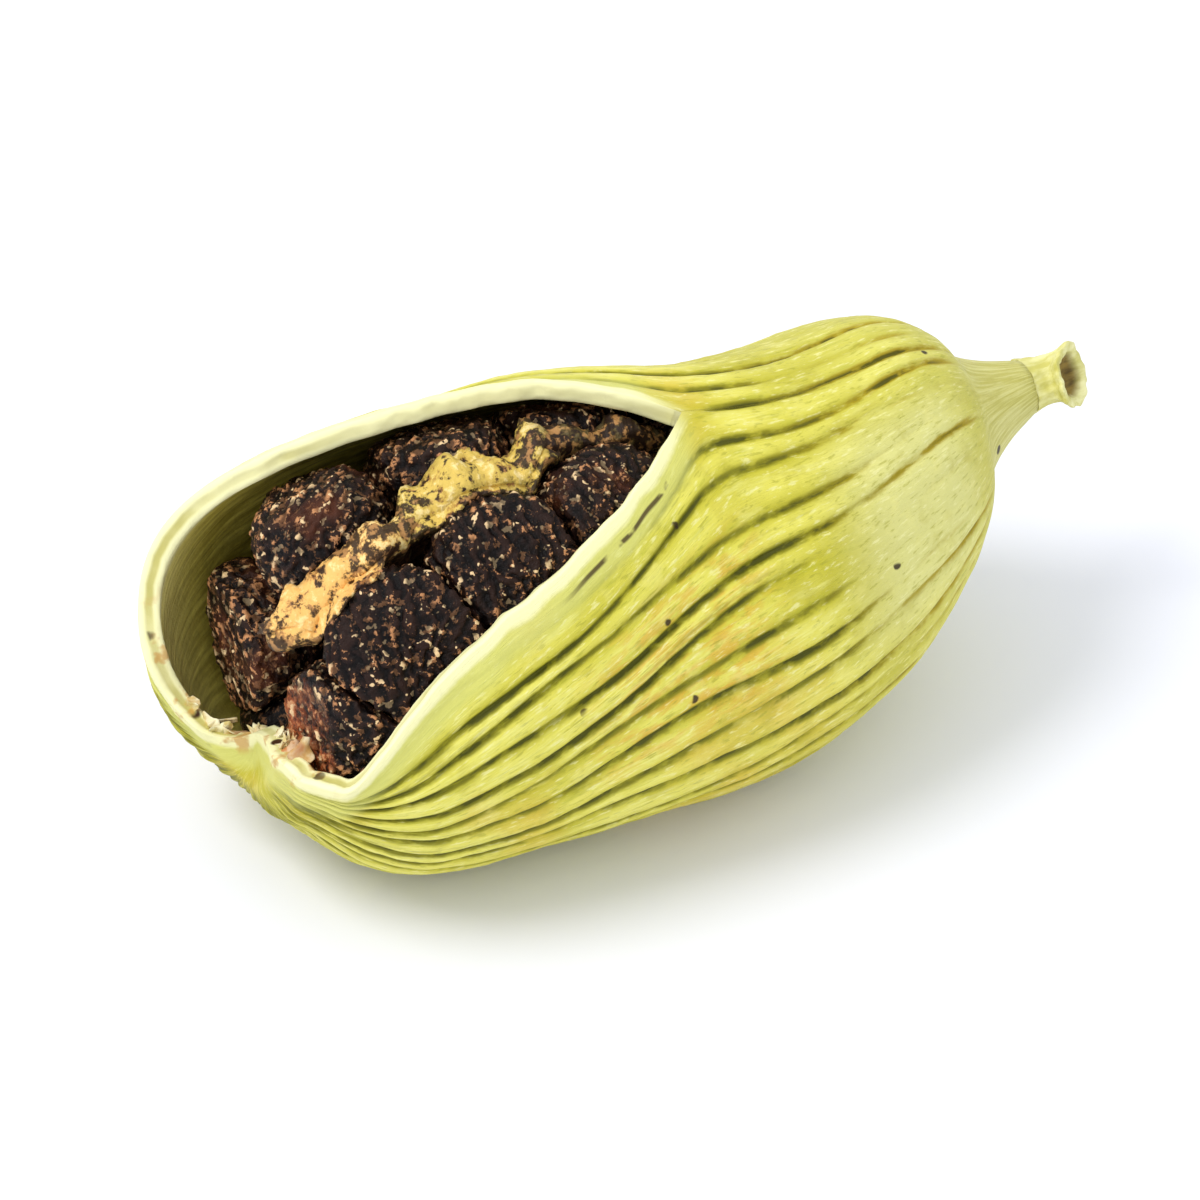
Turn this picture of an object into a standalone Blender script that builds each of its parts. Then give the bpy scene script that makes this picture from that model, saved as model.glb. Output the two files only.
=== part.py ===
"""A green cardamom pod, dried, lying on its side and split open along the top.

The pod's long axis runs along X: the cut stalk is at +X and the split tip at -X.
Z is up, and the belly of the husk stands on a small flat spot round the origin.
Lengths below are in millimetres and are scaled to metres when a mesh is made.
"""

import math

import bmesh
import bpy
from mathutils import Vector

MM = 0.001

# Whole pod
STALK_END_X = 13.00        # X of the cut face of the stalk
AXIS_Y = 0.50
AXIS_HEIGHT = 4.86         # height of the pod's axis over the ground
FLAT_INNER_HEIGHT = 0.30   # the husk's inner face stays this far over the ground

# Husk: distance from the cut face of the stalk, and half the width there.
# The last stations turn back, because the tip of the pod is blunt and a little sunk.
PROFILE = (
    (1.20, 0.62), (2.10, 0.98), (2.90, 1.50), (3.50, 2.35), (4.35, 3.02),
    (5.50, 3.52), (7.30, 3.93), (9.80, 4.42), (11.70, 4.72), (13.70, 4.85),
    (15.80, 4.72), (17.60, 4.42), (19.10, 3.92), (20.05, 3.20), (20.48, 2.35),
    (20.42, 1.50), (20.10, 0.75), (19.96, 0.0),
)
WALL = 0.46                # thickness of the husk
CAVITY_START = 2.95        # distance along the profile where the hollow begins
BELLY_SAG = 0.88           # how far the middle of the pod hangs below its ends
BELLY_AT = 8.5
BELLY_SPREAD = 4.1
LEAN = 0.045               # drop of the axis towards the tip, per length, as the seeds weigh that end down
LEAN_LEVEL_AT = 12.5
CORNERS = 0.022            # a pod is three-sided, with rounded corners
RIBS = 36                  # ribs round the husk
RIB_HEIGHT = 0.085
LIP_FLARE = 0.16           # how far the lips of the split curl out
LIP_BAND = 0.55
FAR_END = 0.95             # how much further the tip reaches on the far side
NEAR_BELLY = 0.40          # swelling low on the near side
FAR_HOLLOW = 0.14          # flattening beside the start of the split, on the far side
FAR_BULGE = 0.36           # swelling of the far side near the tip
TIP_OUT = 0.35             # the middle of the tip lies this much further out
TIP_DOWN = 1.00            # and this much lower than the axis
TIP_FROM = 20.3

# Split: distance along the profile, then the angles of its two lips.
# Angles go round the axis from -Y (0) by the top (90) to +Y (180).
SPLIT = (
    (10.5, 81.5, 81.5), (11.4, 70.0, 90.5), (12.9, 56.0, 100.0), (14.8, 44.0, 107.0),
    (16.5, 36.0, 112.0), (18.1, 26.0, 120.0), (19.4, 9.0, 138.0), (20.2, -6.0, 158.0),
    (21.0, -6.0, 180.0), (21.8, 3.0, 203.0), (22.4, 12.0, 214.0), (23.2, 25.0, 222.0),
)
RINGS = 34                 # rings of the husk's mesh
INNER_COLUMNS = 42

# Stalk
STALK_GAP = 0.03
STALK_BEND = 55.0          # the stub bends up and to the near side by this much at its cut face
STALK_BEND_WAY = (-0.87, 0.50)   # as Y and Z

# Seeds: distance from the stalk's cut face, angle round the axis, distance from the axis.
# The first ten show through the split. The others are in the hollow under them.
SEED_PLACES = (
    (19.25, 190.0, 2.20), (18.00, 113.0, 2.80), (15.10, 114.0, 3.05), (12.20, 119.0, 3.00),
    (9.50, 121.0, 2.60),
    (19.15, -4.0, 2.20), (17.85, 37.0, 2.90), (15.35, 51.0, 3.05), (12.70, 58.0, 3.00),
    (9.90, 60.0, 2.65),
    (16.85, 172.0, 2.75), (13.90, 175.0, 2.80), (11.00, 178.0, 2.60),
    (18.20, 242.0, 2.35), (15.40, 234.0, 2.60), (12.50, 236.0, 2.65), (9.70, 238.0, 2.40),
    (17.90, 300.0, 2.30), (15.20, 294.0, 2.60), (12.30, 297.0, 2.65), (9.40, 300.0, 2.35),
    (16.60, 350.0, 2.75), (13.70, 355.0, 2.80), (10.80, 358.0, 2.60),
)
SEED_SPLIT_ROWS = 10       # how many of them lie along the split
SEED_GAP = 0.11            # between neighbours
SEED_MAX_RADIUS = 1.72
SEED_ROUNDING = 14.0       # higher is more angular

# Membrane between the two rows of seeds under the split
MEMBRANE_START = 9.9
MEMBRANE_END = 19.75
MEMBRANE_FOOT = 1.7        # distance of its lower edge from the axis
MEMBRANE_HALF_WIDTH = 0.62 # at the top, where it swells between the seeds
MEMBRANE_STEPS = 34
MEMBRANE_LEVELS = 7


def slopes(xs, ys):
    """Slopes at the knots that keep a curve through them from overshooting."""
    steps = [(ys[i + 1] - ys[i]) / (xs[i + 1] - xs[i]) for i in range(len(xs) - 1)]
    out = [steps[0]]
    for i in range(1, len(xs) - 1):
        a, b = steps[i - 1], steps[i]
        if a * b <= 0.0:
            out.append(0.0)
        else:
            wa = 2.0 * (xs[i + 1] - xs[i]) + (xs[i] - xs[i - 1])
            wb = (xs[i + 1] - xs[i]) + 2.0 * (xs[i] - xs[i - 1])
            out.append((wa + wb) / (wa / a + wb / b))
    out.append(steps[-1])
    return out


class Curve:
    """A smooth curve through knots."""

    def __init__(self, xs, ys, last_slope=None):
        self.xs, self.ys, self.ms = list(xs), list(ys), slopes(xs, ys)
        if last_slope is not None:
            self.ms[-1] = last_slope

    def __call__(self, x):
        xs, ys, ms = self.xs, self.ys, self.ms
        x = min(max(x, xs[0]), xs[-1])
        i = 0
        while i < len(xs) - 2 and x > xs[i + 1]:
            i += 1
        h = xs[i + 1] - xs[i]
        u = (x - xs[i]) / h
        return ((2 * u ** 3 - 3 * u ** 2 + 1) * ys[i] + (u ** 3 - 2 * u ** 2 + u) * h * ms[i]
                + (3 * u ** 2 - 2 * u ** 3) * ys[i + 1] + (u ** 3 - u ** 2) * h * ms[i + 1])


def chord_lengths(points):
    out = [0.0]
    for a, b in zip(points, points[1:]):
        out.append(out[-1] + math.hypot(b[0] - a[0], b[1] - a[1]))
    return out


ALONG = chord_lengths(PROFILE)
PROFILE_LENGTH = ALONG[-1]
profile_t = Curve(ALONG, [p[0] for p in PROFILE], 0.0)
profile_r = Curve(ALONG, [p[1] for p in PROFILE])
SPLIT_START = SPLIT[0][0]
near_lip = Curve([p[0] for p in SPLIT], [p[1] for p in SPLIT])
far_lip = Curve([p[0] for p in SPLIT], [p[2] for p in SPLIT])


def ease(low, high, x):
    u = min(max((x - low) / (high - low), 0.0), 1.0)
    return u * u * (3.0 - 2.0 * u)


def centre_line(t):
    """Where the middle of a cross-section is, as Y and Z from the axis."""
    sag = BELLY_SAG * math.exp(-((t - BELLY_AT) / BELLY_SPREAD) ** 2) - 0.17
    return -0.69 * sag, -0.73 * sag - LEAN * (t - LEAN_LEVEL_AT)


def lips(v):
    """Angles of the two lips at a distance along the profile. They meet before the split."""
    v = max(v, SPLIT_START)
    return math.radians(near_lip(v)), math.radians(far_lip(v))


def husk_angle(v, s):
    """Angle round the axis at a share s of the way from the near lip to the far one, by the belly."""
    near, far = lips(v)
    return near - s * (2.0 * math.pi - (far - near))


def lobe(angle, centre, spread):
    """A smooth bump round an angle, in degrees, that is 1 at its centre."""
    turn = (math.degrees(angle) - centre + 180.0) % 360.0 - 180.0
    return math.exp(-((turn / spread) ** 2))


def swell(v, angle):
    """What the three corners and the uneven drying of the husk add to the radius."""
    t = profile_t(v)
    tip = 1.0 - ease(20.4, 22.2, v)
    out = CORNERS * profile_r(v) * math.cos(3.0 * (angle - math.radians(210.0)))
    out += NEAR_BELLY * lobe(angle, -52.0, 48.0) * ease(3.5, 7.0, t) * (1.0 - ease(18.0, 20.2, t)) * tip
    out -= FAR_HOLLOW * lobe(angle, 128.0, 42.0) * ease(7.5, 10.5, t) * (1.0 - ease(13.5, 16.5, t))
    out += FAR_BULGE * lobe(angle, 140.0, 48.0) * ease(15.0, 18.6, t) * tip
    return out


def husk_offset(v, s, radius):
    """What the lips' curl and the husk's swellings add to the radius."""
    near, far = lips(v)
    width = radius * (2.0 * math.pi - (far - near))
    edge = min(s, 1.0 - s) * width
    opened = ease(SPLIT_START, SPLIT_START + 2.5, v) * (1.0 - ease(19.6, 21.6, v))
    return LIP_FLARE * opened * math.exp(-((edge / LIP_BAND) ** 2)) + swell(v, husk_angle(v, s))


def rib(v, s, column):
    """Height of the ribs: odd columns of the mesh are ridges and even ones are grooves."""
    if column == 0 or column == 2 * RIBS:
        return 0.0
    strength = ease(1.0, 5.5, v) * (1.0 - ease(20.2, 22.4, v))
    varied = 0.80 + 0.35 * math.sin(2.4 * column + 1.3 * math.sin(0.35 * v + column))
    return RIB_HEIGHT * strength * varied * (1.0 if column % 2 else -1.0)


def husk_point(v, s, inset=0.0, ridge=0.0):
    """A point of the husk: distance from the stalk's cut face, Y, and Z from the axis."""
    step = 0.02
    low, high = max(v - step, 0.0), min(v + step, PROFILE_LENGTH)
    dt = profile_t(high) - profile_t(low)
    dr = profile_r(high) - profile_r(low)
    size = math.hypot(dt, dr)
    radius = profile_r(v)
    depth = inset - ridge - husk_offset(v, s, radius)
    t = profile_t(v) + depth * dr / size
    r = max(radius - depth * dt / size, 0.0)
    y, z = centre_line(t)
    angle = husk_angle(v, s)
    y, z = y - r * math.cos(angle), z + r * math.sin(angle)
    tip = ease(TIP_FROM, 23.2, v)
    return t + FAR_END * ease(15.5, 20.2, t) * ease(0.0, 3.2, y) + TIP_OUT * tip, y, z - TIP_DOWN * tip


def world(point, lowest=None):
    """From pod coordinates to metres."""
    t, y, z = point
    z += AXIS_HEIGHT
    if lowest is not None:
        z = max(z, lowest)
    return Vector(((STALK_END_X - t) * MM, (y + AXIS_Y) * MM, z * MM))


def material(name, colour, roughness):
    made = bpy.data.materials.new(name)
    made.use_nodes = True
    shader = made.node_tree.nodes["Principled BSDF"]
    shader.inputs["Base Color"].default_value = (*colour, 1.0)
    shader.inputs["Roughness"].default_value = roughness
    shader.inputs["Metallic"].default_value = 0.0
    made.diffuse_color = (*colour, 1.0)
    return made


def finish(bm, name, made_of, place=Vector((0.0, 0.0, 0.0))):
    """Turns a mesh into a named object with its origin at a place, and its faces looking out."""
    bmesh.ops.translate(bm, vec=-place, verts=bm.verts)
    bmesh.ops.recalc_face_normals(bm, faces=bm.faces)
    mesh = bpy.data.meshes.new(name)
    bm.to_mesh(mesh)
    bm.free()
    mesh.materials.append(made_of)
    mesh.shade_smooth()
    mesh.set_sharp_from_angle(angle=math.radians(50.0))
    thing = bpy.data.objects.new(name, mesh)
    thing.location = place
    bpy.context.collection.objects.link(thing)
    return thing


def ring_positions():
    """Distances along the profile for the husk's rings, closer together where it turns quickly."""
    knots = (0.0, 0.9, 1.8, 2.5, 3.1, 3.9, 5.0, 6.3, 8.0, SPLIT_START)
    out = list(knots)
    span = 21.0 - SPLIT_START
    wide = RINGS - len(knots) - 5
    for i in range(1, wide + 1):
        out.append(SPLIT_START + span * i / wide)
    out += [21.45, 21.95, 22.45, 22.95]
    return out


def make_husk(made_of):
    bm = bmesh.new()
    rings = ring_positions()
    first_open = rings.index(SPLIT_START) + 1
    columns = 2 * RIBS
    outer, inner = [], []
    for i, v in enumerate(rings):
        closed = i < first_open
        row = []
        for j in range(columns + 1):
            if closed and j == columns:
                row.append(row[0])
                continue
            s = j / columns
            row.append(bm.verts.new(world(husk_point(v, s, 0.0, rib(v, s, j)), 0.0)))
        outer.append(row)
        if closed:
            v = CAVITY_START + (SPLIT_START - CAVITY_START) * v / SPLIT_START
        row = []
        for j in range(INNER_COLUMNS + 1):
            if closed and j == INNER_COLUMNS:
                row.append(row[0])
                continue
            row.append(bm.verts.new(world(husk_point(v, j / INNER_COLUMNS, WALL), FLAT_INNER_HEIGHT)))
        inner.append(row)

    def skin(rows):
        for a, b in zip(rows, rows[1:]):
            for j in range(len(a) - 1):
                bm.faces.new((a[j], a[j + 1], b[j + 1], b[j]))

    skin(outer)
    skin(inner)

    # The tip, where all the ribs meet, on both faces
    tip_out = bm.verts.new(world(husk_point(PROFILE_LENGTH, 0.5, 0.0)))
    tip_in = bm.verts.new(world(husk_point(PROFILE_LENGTH, 0.5, WALL)))
    for row, tip in ((outer[-1], tip_out), (inner[-1], tip_in)):
        for j in range(len(row) - 1):
            bm.faces.new((row[j], row[j + 1], tip))

    # The stalk end, on both faces
    stalk_out = bm.verts.new(world((PROFILE[0][0], *centre_line(PROFILE[0][0]))))
    start_t = husk_point(CAVITY_START, 0.5, WALL)[0]
    stalk_in = bm.verts.new(world((start_t - 0.25, *centre_line(start_t))))
    for row, middle in ((outer[0], stalk_out), (inner[0], stalk_in)):
        for j in range(len(row) - 1):
            bm.faces.new((row[j], row[j + 1], middle))

    # The rounded edge of both lips
    for end in (0, -1):
        edge = []
        for i in range(first_open - 1, len(rings)):
            a, b = outer[i][end], inner[i][end]
            v = rings[i]
            s = 0.0 if end == 0 else 1.0
            bulge = 0.10 * ease(SPLIT_START, SPLIT_START + 1.0, v) * (1.0 - ease(21.5, 23.0, v))
            near, far = lips(v)
            turn = bulge / max(profile_r(v), 1.0) / (2.0 * math.pi - (far - near))
            outwards = -turn if end == 0 else turn
            edge.append((a, world(husk_point(v, s + outwards, WALL * 0.5)), b))
        edge.append((tip_out, None, tip_in))
        middles = []
        for k, (a, middle, b) in enumerate(edge):
            if k == 0 or middle is None:
                middles.append(None)
            else:
                middles.append(bm.verts.new(middle))
        for k in range(len(edge) - 1):
            a0, _, b0 = edge[k]
            a1, _, b1 = edge[k + 1]
            m0, m1 = middles[k], middles[k + 1]
            if m0 is None and m1 is not None:
                bm.faces.new((a0, a1, m1))
                bm.faces.new((a0, m1, b0))
                bm.faces.new((b0, m1, b1))
            elif m1 is None:
                bm.faces.new((a0, a1, m0))
                bm.faces.new((a1, b1, m0))
                bm.faces.new((m0, b1, b0))
            else:
                bm.faces.new((a0, a1, m1, m0))
                bm.faces.new((m0, m1, b1, b0))
    # The flat spot that the pod rests on is one face
    flat = [f for f in bm.faces if all(v.co.z < 1e-9 for v in f.verts)]
    spot = bmesh.ops.dissolve_faces(bm, faces=flat, use_verts=False)["region"]
    bmesh.ops.triangulate(bm, faces=[f for f in bm.faces if f not in spot])
    return finish(bm, "husk", made_of)


def stalk_frame(t):
    """Middle of the stub at a distance from its cut face along its bent axis, and the way that it points there."""
    base = PROFILE[0][0] - STALK_GAP
    y, z = centre_line(base)
    middle = Vector((base, y, z))
    aside = Vector((0.0, *STALK_BEND_WAY)).normalized()
    steps = 24
    way = Vector((-1.0, 0.0, 0.0))
    for i in range(steps):
        gone = (base - t) * (i + 0.5) / steps
        turned = math.radians(STALK_BEND) * ease(0.0, base, gone)
        way = Vector((-1.0, 0.0, 0.0)) * math.cos(turned) + aside * math.sin(turned)
        middle += way * ((base - t) / steps)
    turned = math.radians(STALK_BEND) * ease(0.0, base, base - t)
    return middle, Vector((-1.0, 0.0, 0.0)) * math.cos(turned) + aside * math.sin(turned)


def make_stalk(made_of):
    """A short cut stub: it flares at the cut and its middle is sunk."""
    end = PROFILE[0][0] - STALK_GAP
    outline = (
        (end, 0.0), (end, 0.60), (0.88, 0.54), (0.55, 0.51), (0.26, 0.57), (0.06, 0.69), (0.0, 0.68),
        (0.03, 0.56), (0.16, 0.44), (0.32, 0.26), (0.36, 0.0),
    )
    across = Vector((0.0, STALK_BEND_WAY[1], -STALK_BEND_WAY[0])).normalized()
    bm = bmesh.new()
    around = 20
    rows = []
    for t, r in outline:
        middle, way = stalk_frame(t)
        if r == 0.0:
            rows.append([bm.verts.new(world(middle))])
            continue
        aside = way.cross(across).normalized()
        row = []
        for k in range(around):
            angle = 2.0 * math.pi * k / around
            uneven = r * (1.0 + 0.06 * math.sin(2.0 * angle + 0.7) + 0.04 * math.sin(5.0 * angle))
            row.append(bm.verts.new(world(middle + across * (uneven * math.cos(angle)) + aside * (uneven * math.sin(angle)))))
        rows.append(row)
    for a, b in zip(rows, rows[1:]):
        for k in range(around):
            following = (k + 1) % around
            if len(a) == 1:
                bm.faces.new((a[0], b[k], b[following]))
            elif len(b) == 1:
                bm.faces.new((a[k], a[following], b[0]))
            else:
                bm.faces.new((a[k], a[following], b[following], b[k]))
    return finish(bm, "stalk_stub", made_of, world(stalk_frame(0.6)[0]))


def seed_centres():
    out = []
    for t, angle, radius in SEED_PLACES:
        y, z = centre_line(t)
        angle = math.radians(angle)
        out.append(Vector((t, y - radius * math.cos(angle), z + radius * math.sin(angle))))
    return out


def hollow_planes():
    """Planes that touch the husk's inner face, as a point and a normal that looks out."""
    out = []
    for i in range(22):
        v = 5.2 + (21.6 - 5.2) * i / 21
        low, high = v - 0.05, v + 0.05
        dt = profile_t(high) - profile_t(low)
        dr = profile_r(high) - profile_r(low)
        size = math.hypot(dt, dr)
        for k in range(36):
            angle = 2.0 * math.pi * k / 36
            depth = WALL - swell(v, angle) + 0.5 * SEED_GAP
            t = profile_t(v) + depth * dr / size
            r = profile_r(v) - depth * dt / size
            y, z = centre_line(t)
            tip = ease(TIP_FROM, 23.2, v)
            out.append((
                Vector((t + TIP_OUT * tip, y - r * math.cos(angle), z + r * math.sin(angle) - TIP_DOWN * tip)),
                Vector((-dr, -dt * math.cos(angle), dt * math.sin(angle))).normalized(),
            ))
    floor = FLAT_INNER_HEIGHT + SEED_GAP - AXIS_HEIGHT
    out.append((Vector((0.0, 0.0, floor)), Vector((0.0, 0.0, -1.0))))
    return out


class Seed:
    """A seed pressed into its place: flat where it meets its neighbours and the husk."""

    def __init__(self, index, centres, walls):
        self.centre = centres[index]
        self.sides = []
        along_split = index < SEED_SPLIT_ROWS
        for other, place in enumerate(centres):
            if other == index:
                continue
            gap = SEED_GAP
            if along_split and other < SEED_SPLIT_ROWS and (index < 5) != (other < 5):
                gap += 0.22
            way = place - self.centre
            reach = way.length / 2.0 - gap / 2.0
            if reach < 2.6:
                self.sides.append(way.normalized() / reach)
        self.walls = [normal / (point - self.centre).dot(normal) for point, normal in walls]
        shape = 0.5 * math.sin(3.1 * index + 0.4)
        self.size = (SEED_MAX_RADIUS * (1.0 + 0.08 * shape), SEED_MAX_RADIUS * (1.0 - 0.07 * shape),
                     SEED_MAX_RADIUS)

    def reach(self, way):
        """How far the seed goes from its centre in a direction."""
        wall = max(way.dot(side) for side in self.walls)
        rounded = math.sqrt((way.x / self.size[0]) ** 2 + (way.y / self.size[1]) ** 2
                            + (way.z / self.size[2]) ** 2)
        total = wall ** SEED_ROUNDING + rounded ** SEED_ROUNDING
        for side in self.sides:
            lean = way.dot(side)
            if lean > 0.0:
                total += lean ** SEED_ROUNDING
        return total ** (-1.0 / SEED_ROUNDING)

    def clearance(self, point):
        """About how far a point is outside the seed, along the line to its centre."""
        way = point - self.centre
        distance = way.length
        if distance > 4.0:
            return distance - 2.0
        return distance - self.reach(way / distance)


def even_directions(count):
    golden = math.pi * (3.0 - math.sqrt(5.0))
    for i in range(count):
        z = 1.0 - 2.0 * (i + 0.5) / count
        r = math.sqrt(1.0 - z * z)
        yield Vector((r * math.cos(golden * i), r * math.sin(golden * i), z))


def make_seed(number, seed, points, made_of):
    bm = bmesh.new()
    for way in even_directions(points):
        bm.verts.new(world(seed.centre + way * seed.reach(way)) / MM)
    result = bmesh.ops.convex_hull(bm, input=bm.verts)
    bmesh.ops.delete(bm, geom=result["geom_interior"], context="VERTS")
    bmesh.ops.scale(bm, vec=(MM, MM, MM), verts=bm.verts)
    return finish(bm, "seed_%02d" % number, made_of, world(seed.centre))


def membrane_middle(t):
    """Angle of the membrane, about half-way between the two rows of seeds."""
    upper = Curve((9.5, 12.2, 15.1, 18.0, 19.9), (121.0, 119.0, 114.0, 113.0, 120.0))
    lower = Curve((9.9, 12.7, 15.35, 17.85, 19.9), (60.0, 58.0, 51.0, 37.0, 20.0))
    return math.radians((upper(t) + lower(t)) / 2.0)


def between_seeds(middle, side, seeds):
    """The roomiest place beside a point, and how far the nearest seed is from it."""
    best = (-1.0, 0.0)
    for step in range(-30, 31):
        shift = 0.025 * step
        room = min(seed.clearance(middle + side * shift) for seed in seeds)
        best = max(best, (room - 0.01 * abs(shift), shift))
    return best[1], best[0]


def membrane_top(t):
    """Distance of the membrane's upper edge from the axis."""
    torn = 0.16 * math.sin(2.9 * t + 0.5) + 0.09 * math.sin(6.1 * t)
    inside = 3.98 - 0.55 * ease(15.5, 18.0, t) - 0.95 * ease(18.0, 19.7, t)
    return (inside + torn) * (0.78 + 0.22 * ease(9.9, 12.0, t))


def make_membrane(seeds, made_of):
    """A papery strip that swells at its top, in the valley between the seeds."""
    near_seeds = seeds[:SEED_SPLIT_ROWS] + seeds[10:12] + seeds[21:23]
    bm = bmesh.new()
    rings = []
    for i in range(MEMBRANE_STEPS + 1):
        t = MEMBRANE_START + (MEMBRANE_END - MEMBRANE_START) * i / MEMBRANE_STEPS
        y, z = centre_line(t)
        angle = membrane_middle(t)
        out = Vector((0.0, -math.cos(angle), math.sin(angle)))
        side = Vector((0.0, math.sin(angle), math.cos(angle)))
        top = membrane_top(t)
        taper = ease(0.0, 0.12, i / MEMBRANE_STEPS) * (1.0 - ease(0.9, 1.0, i / MEMBRANE_STEPS))
        right, left = [], []
        for k in range(MEMBRANE_LEVELS + 1):
            share = k / MEMBRANE_LEVELS
            r = MEMBRANE_FOOT + (top - MEMBRANE_FOOT) * share
            shift, room = between_seeds(Vector((t, y, z)) + out * r, side, near_seeds)
            middle = Vector((t, y, z)) + out * r + side * shift
            swell = 0.06 + MEMBRANE_HALF_WIDTH * (0.25 + 0.75 * taper) * ease(0.45, 0.95, share)
            swell *= 0.82 + 0.30 * math.sin(1.35 * t + 0.6) + 0.10 * math.sin(4.3 * t)
            width = max(min(swell, 0.7 * (room - 0.04)), 0.02)
            right.append(middle + side * width)
            left.append(middle - side * width)
        crest = (right[-1] + left[-1]) / 2.0 + out * (0.10 * taper + 0.02)
        foot = (right[0] + left[0]) / 2.0 - out * 0.03
        rings.append([bm.verts.new(world(p)) for p in [foot] + right + [crest] + left[::-1]])
    for a, b in zip(rings, rings[1:]):
        for k in range(len(a)):
            following = (k + 1) % len(a)
            bm.faces.new((a[k], a[following], b[following], b[k]))
    bm.faces.new(rings[0])
    bm.faces.new(rings[-1])
    bmesh.ops.triangulate(bm, faces=bm.faces)
    return finish(bm, "membrane", made_of)


def build():
    for thing in list(bpy.data.objects):
        bpy.data.objects.remove(thing)
    husk_green = material("husk_green", (0.60, 0.64, 0.13), 0.62)
    stalk_straw = material("stalk_straw", (0.66, 0.62, 0.34), 0.75)
    papery_tan = material("papery_tan", (0.62, 0.42, 0.16), 0.70)
    seed_browns = (
        material("seed_dark", (0.030, 0.016, 0.014), 0.45),
        material("seed_reddish", (0.055, 0.022, 0.014), 0.48),
        material("seed_grey", (0.050, 0.036, 0.028), 0.50),
    )
    pieces = [make_husk(husk_green), make_stalk(stalk_straw)]
    centres = seed_centres()
    walls = hollow_planes()
    seeds = [Seed(i, centres, walls) for i in range(len(centres))]
    for i, seed in enumerate(seeds):
        pieces.append(make_seed(i + 1, seed, 110 if i < SEED_SPLIT_ROWS else 64, seed_browns[i % 3]))
    pieces.append(make_membrane(seeds, papery_tan))
    pod = bpy.data.objects.new("pod", None)
    bpy.context.collection.objects.link(pod)
    for piece in pieces:
        piece.parent = pod


build()
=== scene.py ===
"""A green cardamom pod on a plain pale floor: the looks of every piece, the light and the camera."""

import math

import bpy
import numpy as np
from mathutils import Matrix, Vector, noise

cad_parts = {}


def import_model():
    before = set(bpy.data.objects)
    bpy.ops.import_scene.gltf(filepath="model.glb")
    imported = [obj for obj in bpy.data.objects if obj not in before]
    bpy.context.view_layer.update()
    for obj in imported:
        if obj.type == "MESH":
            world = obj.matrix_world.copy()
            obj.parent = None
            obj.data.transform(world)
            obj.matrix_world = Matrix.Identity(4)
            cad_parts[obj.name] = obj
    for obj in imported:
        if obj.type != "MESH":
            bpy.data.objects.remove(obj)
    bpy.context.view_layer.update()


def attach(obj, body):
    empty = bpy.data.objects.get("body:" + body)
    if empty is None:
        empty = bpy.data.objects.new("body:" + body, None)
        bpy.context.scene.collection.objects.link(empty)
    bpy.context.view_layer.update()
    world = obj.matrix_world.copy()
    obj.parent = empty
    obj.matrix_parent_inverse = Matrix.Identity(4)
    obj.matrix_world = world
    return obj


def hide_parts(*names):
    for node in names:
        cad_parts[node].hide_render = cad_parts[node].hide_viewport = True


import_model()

MM = 0.001

# ---------------------------------------------------------------- the pod's shape, in millimetres

STALK_END_X = 13.00
AXIS_Y = 0.50
AXIS_HEIGHT = 4.86
FLAT_INNER_HEIGHT = 0.30
PROFILE = (
    (1.20, 0.62), (2.10, 0.98), (2.90, 1.50), (3.50, 2.35), (4.35, 3.02),
    (5.50, 3.52), (7.30, 3.93), (9.80, 4.42), (11.70, 4.72), (13.70, 4.85),
    (15.80, 4.72), (17.60, 4.42), (19.10, 3.92), (20.05, 3.20), (20.48, 2.35),
    (20.42, 1.50), (20.10, 0.75), (19.96, 0.0),
)
WALL = 0.46
CAVITY_START = 2.95
BELLY_SAG = 0.88
BELLY_AT = 8.5
BELLY_SPREAD = 4.1
LEAN = 0.045
LEAN_LEVEL_AT = 12.5
CORNERS = 0.022
RIBS = 36
RIB_DEPTH = 0.092
LIP_FLARE = 0.16
LIP_BAND = 0.55
FAR_END = 0.95
NEAR_BELLY = 0.40
FAR_HOLLOW = 0.14
FAR_BULGE = 0.36
TIP_OUT = 0.35
TIP_DOWN = 1.00
TIP_FROM = 20.3
SPLIT = (
    (10.5, 81.5, 81.5), (11.4, 70.0, 90.5), (12.9, 56.0, 100.0), (14.8, 44.0, 107.0),
    (16.5, 36.0, 112.0), (18.1, 26.0, 120.0), (19.4, 9.0, 138.0), (20.2, -6.0, 158.0),
    (21.0, -6.0, 180.0), (21.8, 3.0, 203.0), (22.4, 12.0, 214.0), (23.2, 25.0, 222.0),
)
SEED_PLACES = (
    (19.25, 190.0, 2.20), (18.00, 113.0, 2.80), (15.10, 114.0, 3.05), (12.20, 119.0, 3.00),
    (9.50, 121.0, 2.60),
    (19.15, -4.0, 2.20), (17.85, 37.0, 2.90), (15.35, 51.0, 3.05), (12.70, 58.0, 3.00),
    (9.90, 60.0, 2.65),
    (16.85, 172.0, 2.75), (13.90, 175.0, 2.80), (11.00, 178.0, 2.60),
    (18.20, 242.0, 2.35), (15.40, 234.0, 2.60), (12.50, 236.0, 2.65), (9.70, 238.0, 2.40),
    (17.90, 300.0, 2.30), (15.20, 294.0, 2.60), (12.30, 297.0, 2.65), (9.40, 300.0, 2.35),
    (16.60, 350.0, 2.75), (13.70, 355.0, 2.80), (10.80, 358.0, 2.60),
)
SEED_SPLIT_ROWS = 10
SEED_GAP = 0.03
SEED_MAX_RADIUS = 1.82
SEED_ROUNDING = 14.0
MEMBRANE_START = 9.9
MEMBRANE_END = 20.25
MEMBRANE_FOOT = 1.7
MEMBRANE_HALF_WIDTH = 0.68
STALK_GAP = 0.03
STALK_BEND = 55.0
STALK_BEND_WAY = (-0.87, 0.50)


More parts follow.
